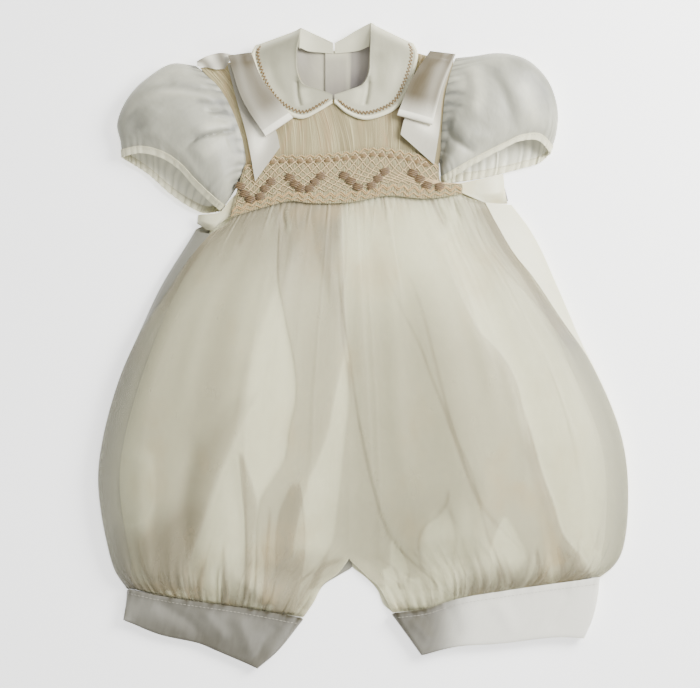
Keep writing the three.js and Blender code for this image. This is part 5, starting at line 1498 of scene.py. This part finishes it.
collarCreases = {
    "left": [{"along": [(-47.5, 190), (-47, 181), (-45, 172)], "width": 2.2, "rise": -1.2, "steep": 0.5,
              "start": 0.02, "end": 0.05},
             {"along": [(-58, 214), (-60, 196), (-54, 180)], "width": 7, "rise": 0.7},
             {"along": [(-68, 206), (-64, 190), (-56, 178)], "width": 4, "rise": -0.4}],
    "right": [{"along": [(3.6, 190), (2.6, 182), (0.6, 173)], "width": 1.1, "rise": -1.2, "steep": 2.0,
               "start": 0.02, "end": 0.05},
              {"along": [(18, 216), (20, 198), (14, 180)], "width": 7, "rise": 0.7},
              {"along": [(28, 206), (25, 192), (18, 180)], "width": 4, "rise": -0.4}],
}
collarCut = {"flat": (72, 192), "area": 5700, "held": "folded"}
pipingCut = {"flat": (10, 190), "area": 590, "held": "folded"}
# painted shade and painted highlight lines on the collar leaves, along the roll
collarShadeLines = {
    "left": [{"along": [(-48, 194), (-47.4, 182), (-45.4, 172)], "width": 1.6, "rise": 0.25, "start": 0.02, "end": 0.1},
             {"along": [(-44, 186), (-42, 178), (-40, 172)], "width": 4, "rise": -0.35},
             {"along": [(-72, 200), (-64, 184), (-54, 174)], "width": 5, "rise": -0.2}],
    "right": [{"along": [(4.4, 194), (3.6, 182), (1.6, 172)], "width": 1.4, "rise": 0.45, "start": 0.02, "end": 0.1},
              {"along": [(-2, 186), (-4, 178), (-6, 172)], "width": 4, "rise": -0.35},
              {"along": [(10, 214), (12, 196), (10, 178)], "width": 5, "rise": 0.2}],
}
# painted shade: the left leaf is coloured deeper than the right, as the light comes from the right
collarShade = {"left": 0.55, "right": 0.38}
collarTrim = {"standShare": 0.2, "stitchInside": 2.4, "zigzagWide": 2.4, "zigzagStep": 2.6, "thread": 0.42}


def collarSurface(key):
    parts = collars[key]
    stand, roll, edge = [chain(line(parts["front"][part]), line(parts["back"][part]), 0.5)
                         for part in ("stand", "roll", "edge")]
    standShare = collarTrim["standShare"]

    def at(width, along):
        width, along = np.asarray(width, float), np.asarray(along, float)
        leaf = np.clip((width - standShare) / (1 - standShare), 0, 1)
        rolled, rim = roll(along), edge(along)
        rolled[..., 2] = blend(rolled[..., 2], np.minimum(rolled[..., 2], romper["leafLevel"] + 0.6),
                               0.6 * (1 - smooth(along, 0.38, 0.48)))
        foot = stand(along)
        foot[..., :2] = blend(foot[..., :2], rolled[..., :2], (0.8 * (1 - smooth(along, 0.4, 0.5)))[..., None])
        lower = foot + (rolled - foot) * np.clip(width / standShare, 0, 1)[..., None]
        upper = rolled + (rim - rolled) * leaf[..., None]
        # in front the leaf slopes gently from the roll; behind it lies flat at once
        isFront = 1 - smooth(along, 0.42, 0.5)
        upper[..., 2] = blend(rolled[..., 2], rim[..., 2], smooth(leaf, -0.25 * isFront, blend(0.16, 0.8, isFront)))
        return np.where((width <= standShare)[..., None], lower, upper)
    return at


def collar(key):
    surface = collarSurface(key)
    width, along = spread(np.concatenate([np.linspace(0, 0.2, 7)[:-1], np.linspace(0.2, 1, 36)]), 150)
    points = surface(width, along)
    front = 1 - smooth(along, 0.44, 0.5)
    sway = (uneven(101 if key == "left" else 103, 9)(along) - 0.5) * smooth(width, 0.3, 0.8)
    points[..., 2] += sway * 0.7 * front
    points[..., 2] += creases(points[..., 0], points[..., 1], collarCreases[key]) * front * smooth(width, 0.2, 0.3) \
        * (1 - smooth(width, 0.9, 1))
    # painted shade along the roll line and deeper towards the top of the leaf, with uneven tone
    rollLine = 0.5 * np.exp(-((width - 0.2) / 0.05) ** 2)
    tone = collarShade[key] * front + 0.3 * rollLine + 0.2 * (uneven(107, 7)(along) - 0.5) * front \
        + 0.25 * smooth(points[..., 1], 196, 216) * front \
        + creases(points[..., 0], points[..., 1], collarShadeLines[key]) * front
    return cloth(f"collarLeaf_{key}", points, sheetThickness["collar"], finish["collar"], [f"collar_{key}"],
                 collarCut, marks={"pliesAndPaintedShading": tone})


def collarEdge(key, inside, along):
    # a line that runs a given distance inside the leaf's edge
    surface = collarSurface(key)
    rim = surface(np.ones_like(along), along)
    inner = surface(np.full_like(along, 0.55), along)
    length = np.linalg.norm(rim - inner, axis=-1)
    return surface(1 - 0.45 * inside / length, along)


def collarTrimming(key):
    surface = collarSurface(key)
    share, along = spread(np.linspace(0, 1, 9), 240)
    rim = surface(np.ones_like(along), along)
    outward = rim - surface(np.full_like(along, 0.9), along)
    outward /= np.linalg.norm(outward, axis=-1, keepdims=True)
    points = rim + outward * (share * romper["pipingWidth"])[..., None]
    crown = np.sin(np.clip(share, 0, 1) * math.pi) ** 0.6
    points[..., 2] += np.where(along < 0.47, crown * 0.55, 0)
    piping = cloth(f"collarPiping_{key}", points, 0.9, finish["piping"], [f"collar_piping_{key}"],
                   pipingCut, marks={"pliesAndPaintedShading": 0.5 * (1 - smooth(share, 0, 0.25))})
    fine = np.linspace(0.02, 0.485, 1400)
    middle = collarEdge(key, np.full_like(fine, collarTrim["stitchInside"]), fine)
    run = lengthsAlong(middle, 0)
    wave = np.abs((run / collarTrim["zigzagStep"] % 1) * 2 - 1) * 2 - 1
    fade = smooth(run, 0, 2) * (1 - smooth(run, run[-1] - 2, run[-1]))
    path = collarEdge(key, collarTrim["stitchInside"] + wave * fade * collarTrim["zigzagWide"] / 2, fine)
    path[:, 2] += sheetThickness["collar"] / 2 + 0.22
    addThreads(f"collarZigzag_{key}", [tubeMesh(path, collarTrim["thread"], 6)], finish["trimThread"])
    return piping


for key in ("left", "right"):
    collar(key)
    collarTrimming(key)
print("collar made")


# Satin ribbons on the shoulders

ribbons = {
    "left": {
        "loop": {"near": [(-80.5, 210), (-72, 190), (-51, 164)], "far": [(-97, 208), (-86.5, 176), (-70.2, 150.4)]},
        "tail": {"near": [(-84, 206), (-70, 170), (-62, 152), (-60, 142.4)],
                 "far": [(-97.6, 202), (-91.5, 178), (-83.4, 149.2), (-77.7, 118)]},
    },
    "right": {
        "loop": {"near": [(47.5, 211), (34, 190), (24.4, 166)], "far": [(66, 209), (56.6, 186), (49.4, 159)]},
        "tail": {"near": [(50, 207), (36, 176), (29, 162), (26.5, 151.6)],
                 "far": [(64.5, 205), (56.8, 180), (54.8, 158), (50.6, 130)]},
    },
}
shoulderEnd = {"head": [(-119.5, 204.4), (-112, 208.4), (-103, 210.6), (-93.6, 209)],
               "foot": [(-119.5, 201), (-112, 200), (-106, 198.6), (-99.6, 199)]}


tailCut = {"flat": (30, 84), "area": 1500, "held": "laid"}
loopCut = {"flat": (24, 122), "area": 2500, "held": "folded"}
shoulderCut = {"flat": (28, 13), "area": 235, "held": "folded"}
# painted light on the ribbons: "shine" is how far a painted highlight reaches from the fold, "shade" how deep the
# loop's flat is painted
ribbonFold = {"reach": 4.2, "swell": 0.9, "shine": 5.6, "shade": {"left": 0.52, "right": 0.62}}


# Where each tail shines: its share across and down
tailShine = {"left": (0.6, 0.72), "right": (0.55, 0.66)}


def ribbonTail(key):
    near, far = line(ribbons[key]["tail"]["near"]), line(ribbons[key]["tail"]["far"])
    u, v = spread(24, 64)
    points = near(v) * (1 - u)[..., None] + far(v) * u[..., None]
    height = romper["tailLevel"] + 0.9 * np.sin(u * math.pi) * smooth(v, 0.4, 1) * np.sin(v * 5 + 0.6) \
        + 1.4 * smooth(v, 0.62, 0.8)
    # painted highlight: a bright patch on the satin tail
    glow = np.exp(-((u - tailShine[key][0]) / 0.34) ** 2 - ((v - tailShine[key][1]) / 0.12) ** 2)
    return cloth(f"ribbonTail_{key}", withHeight(points, height), sheetThickness["ribbon"], finish["ribbon"],
                 [f"ribbon_tail_{key}"],
                 tailCut, marks={"pliesAndPaintedShading": np.clip(0.66 - 0.75 * glow - 0.14 * smooth(v, 0.6, 0.85), 0, 1)})


def ribbonLoop(key):
    # out along the top, round a soft fold at the foot, and back underneath
    near, far = line(ribbons[key]["loop"]["near"]), line(ribbons[key]["loop"]["far"])
    u, v = spread(24, 150)
    rise, reach = romper["loopRise"], ribbonFold["reach"]
    angle = np.clip((v - 0.36) / 0.28, 0, 1) * math.pi
    straight = np.minimum(np.where(v < 0.5, v, 1 - v) / 0.36, 1)
    long = lengthsAlong(near(np.linspace(0, 1, 30))[None], 1)[0, -1]
    share = blend(0.0, 1 - (reach - 0.8) / long, straight)
    points = near(share) * (1 - u)[..., None] + far(share) * u[..., None]
    onward = (near(1.0) - near(0.9)) * (1 - u)[..., None] + (far(1.0) - far(0.9)) * u[..., None]
    onward /= np.linalg.norm(onward, axis=-1, keepdims=True)
    points = points + onward * (np.sin(angle) ** 0.8 * reach)[..., None]
    upper = smooth(v, 0.5, 0.64)
    top = 1 - smooth(share, 0, 0.12)
    height = romper["loopLevel"] + rise / 2 * (1 - np.cos(angle)) \
        + upper * (0.7 * np.sin(u * math.pi) * (1 - top) + ribbonFold["swell"] * np.sin(share * math.pi) ** 2
                   - 0.8 * top + 0.5 * np.sin(u * 4 + 1) * (1 - share))
    fromEnd = reach * (1 - np.sin(angle) ** 0.8) + np.where(v > 0.64, (1 - 1 / long - share) * long, 0)
    # painted highlight along the rounded fold, painted sheen bands, a painted bright edge on the right loop and painted
    # shade over the flat
    shine = smooth(fromEnd, 0.1, 1.0) \
        * (1 - smooth(fromEnd, ribbonFold["shine"] - 1.6, ribbonFold["shine"])) * (v > 0.5)
    bands = 0.06 * np.exp(-((u - 0.25) / 0.25) ** 2) - 0.12 * np.exp(-((u - 0.62 - 0.2 * share) / 0.16) ** 2)
    bright = 0.5 * np.exp(-((1 - u) / 0.05) ** 2) if key == "right" else 0.0
    shade = ribbonFold["shade"][key] * smooth(v, 0.6, 0.75) \
        + (bands + 0.12 * np.exp(-((share - 0.08) / 0.1) ** 2) - bright) * upper
    return cloth(f"ribbonLoop_{key}", withHeight(points, height), sheetThickness["ribbon"], finish["ribbon"],
                 [f"ribbon_loop_{key}"], {**loopCut, "on": [f"ribbonTail_{key}"]},
                 marks={"pliesAndPaintedShading": np.clip(0.3 + shade - 1.0 * shine, 0, 0.98)})


def ribbonShoulder():
    u, v = spread(60, 24)
    head, foot = line(shoulderEnd["head"]), line(shoulderEnd["foot"])
    points = head(u) * (1 - v)[..., None] + foot(u) * v[..., None]
    height = romper["tailLevel"] - 1.2 + 0.8 * np.sin(u * 8 + v * 2) * (1 - v * 0.4)
    # painted highlights and painted shade in stripes across the folded satin
    return cloth("ribbonShoulder", withHeight(points, height), sheetThickness["ribbon"], finish["ribbon"],
                 ["ribbon_shoulder_left"], shoulderCut,
                 marks={"pliesAndPaintedShading": 0.5 + 0.28 * np.sin(u * 11 - v * 4 + 1)})


for key in ("left", "right"):
    ribbonTail(key)
    ribbonLoop(key)
ribbonShoulder()
print("ribbons made")


# Back buttons, each with a rim and crossed thread in its sewing places

buttonSpec = {
    "depth": 1.4, "x": -20, "highest": 163, "spacing": 26, "sides": 40,
    "profile": [(0.0, 1.0), (2.9, 1.0), (3.3, 1.2), (3.8, 1.4), (4.3, 1.25), (4.5, 0.8), (4.4, 0.35), (4.0, 0.05),
                (0.0, 0.05)],  # radius and height, from the middle of the face round to the middle of the back
    "holes": 4, "holeCircle": 1.1, "threadLevel": 0.42, "threadSag": 0.22, "threadRadius": 0.3,
}


def button(number):
    spec = buttonSpec
    profile, sides = spec["profile"], spec["sides"]
    middle = spec["highest"] - spec["spacing"] * (number - 1)
    points, faces = [(0, 0, profile[0][1])], []
    for radius, height in profile[1:-1]:
        for k in range(sides):
            angle = k / sides * 2 * math.pi
            points.append((radius * math.cos(angle), radius * math.sin(angle), height))
    points.append((0, 0, profile[-1][1]))
    for k in range(sides):
        following = (k + 1) % sides
        faces.append((0, 1 + k, 1 + following))
        for ring in range(len(profile) - 3):
            a, b = 1 + ring * sides, 1 + (ring + 1) * sides
            faces.append((a + k, b + k, b + following, a + following))
        last = 1 + (len(profile) - 3) * sides
        faces.append((last + following, last + k, len(points) - 1))
    points = np.array(points, float)
    points[:, 2] = spec["depth"] - points[:, 2]
    faces = [face[::-1] for face in faces]
    points += (spec["x"], middle, 0)
    made = addMesh(f"button_{number}_disc", points, faces, finish["button"], [f"button_{number}"], sharp=60)
    holes = []
    for k in range(spec["holes"]):
        angle = (k + 0.5) / spec["holes"] * 2 * math.pi
        holes.append(np.array([spec["x"] + spec["holeCircle"] * math.cos(angle),
                               middle + spec["holeCircle"] * math.sin(angle), spec["threadLevel"]]))
    sag = np.array([0, 0, 1]) * (np.sin(np.linspace(0, math.pi, 8)) * spec["threadSag"])[:, None]
    crossed = [tubeMesh(np.linspace(holes[a], holes[b], len(sag)) - sag, spec["threadRadius"], 6)
               for a, b in ((0, 2), (1, 3))]
    addThreads(f"button_{number}_thread", crossed, finish["seamThread"])
    return made


def buttonFinish():
    shader = Shader("button")
    places = shader.node("ShaderNodeTexCoord", output="Object")
    pearl = shader.noise(places, 320.0, 3.0, 0.6)
    colour = shader.mixColours(pearl, paint("#dcd9cb"), paint("#f3f1e8"))
    return shader.finish({"Coat Weight": 0.3}, {"Base Color": colour, "Roughness": shader.limit(pearl * 0.2 + 0.12)})


finish["button"] = buttonFinish()
for number in (1, 2, 3):
    button(number)
print("buttons made")


# Floor, lights and camera

stageSpec = {
    "floor": 4.0, "floorColour": "#f4f4f2", "floorGlow": 1.3,
    "lens": 85.0, "sensor": 36.0, "wide": 0.504, "middle": (-0.0097, 0.0014), "level": 0.010,
    "world": 0.28,
    "lights": [
        {"name": "key", "at": (0.66, 0.4, 0.62), "size": 0.5, "power": 26.0},
        {"name": "fill", "at": (0.05, 1.15, 1.15), "size": 1.0, "power": 12.5},
        {"name": "front", "at": (0.15, -0.75, 1.0), "size": 0.4, "power": 6.0},
    ],
}


def floor():
    half = stageSpec["floor"] / 2
    mesh = bpy.data.meshes.new("floor")
    mesh.from_pydata([(-half, -half, 0), (half, -half, 0), (half, half, 0), (-half, half, 0)], [], [(0, 1, 2, 3)])
    shader = Shader("floorPaper")
    paper = {"Base Color": paint(stageSpec["floorColour"]), "Roughness": 0.9, "Emission Color": paint("#ffffff"),
             "Emission Strength": stageSpec["floorGlow"]}
    mesh.materials.append(shader.finish(paper, {}))
    made = bpy.data.objects.new("floor", mesh)
    made.location.z = -0.0003
    bpy.context.scene.collection.objects.link(made)


def light(spec):
    data = bpy.data.lights.new(spec["name"], "AREA")
    data.size, data.energy = spec["size"], spec["power"]
    made = bpy.data.objects.new(spec["name"], data)
    made.location = spec["at"]
    made.rotation_euler = (-made.location).to_track_quat("-Z", "Y").to_euler()
    bpy.context.scene.collection.objects.link(made)


def camera():
    data = bpy.data.cameras.new("overhead")
    data.lens, data.sensor_width = stageSpec["lens"], stageSpec["sensor"]
    made = bpy.data.objects.new("overhead", data)
    away = stageSpec["wide"] * data.lens / data.sensor_width
    made.location = (*stageSpec["middle"], stageSpec["level"] + away)
    bpy.context.scene.collection.objects.link(made)
    bpy.context.scene.camera = made


floor()
for spec in stageSpec["lights"]:
    light(spec)
camera()
world = bpy.data.worlds.new("studio")
world.use_nodes = True
world.node_tree.nodes["Background"].inputs["Strength"].default_value = stageSpec["world"]
world.node_tree.nodes["Background"].inputs["Color"].default_value = (1, 1, 1, 1)
bpy.context.scene.world = world
print("studio made")
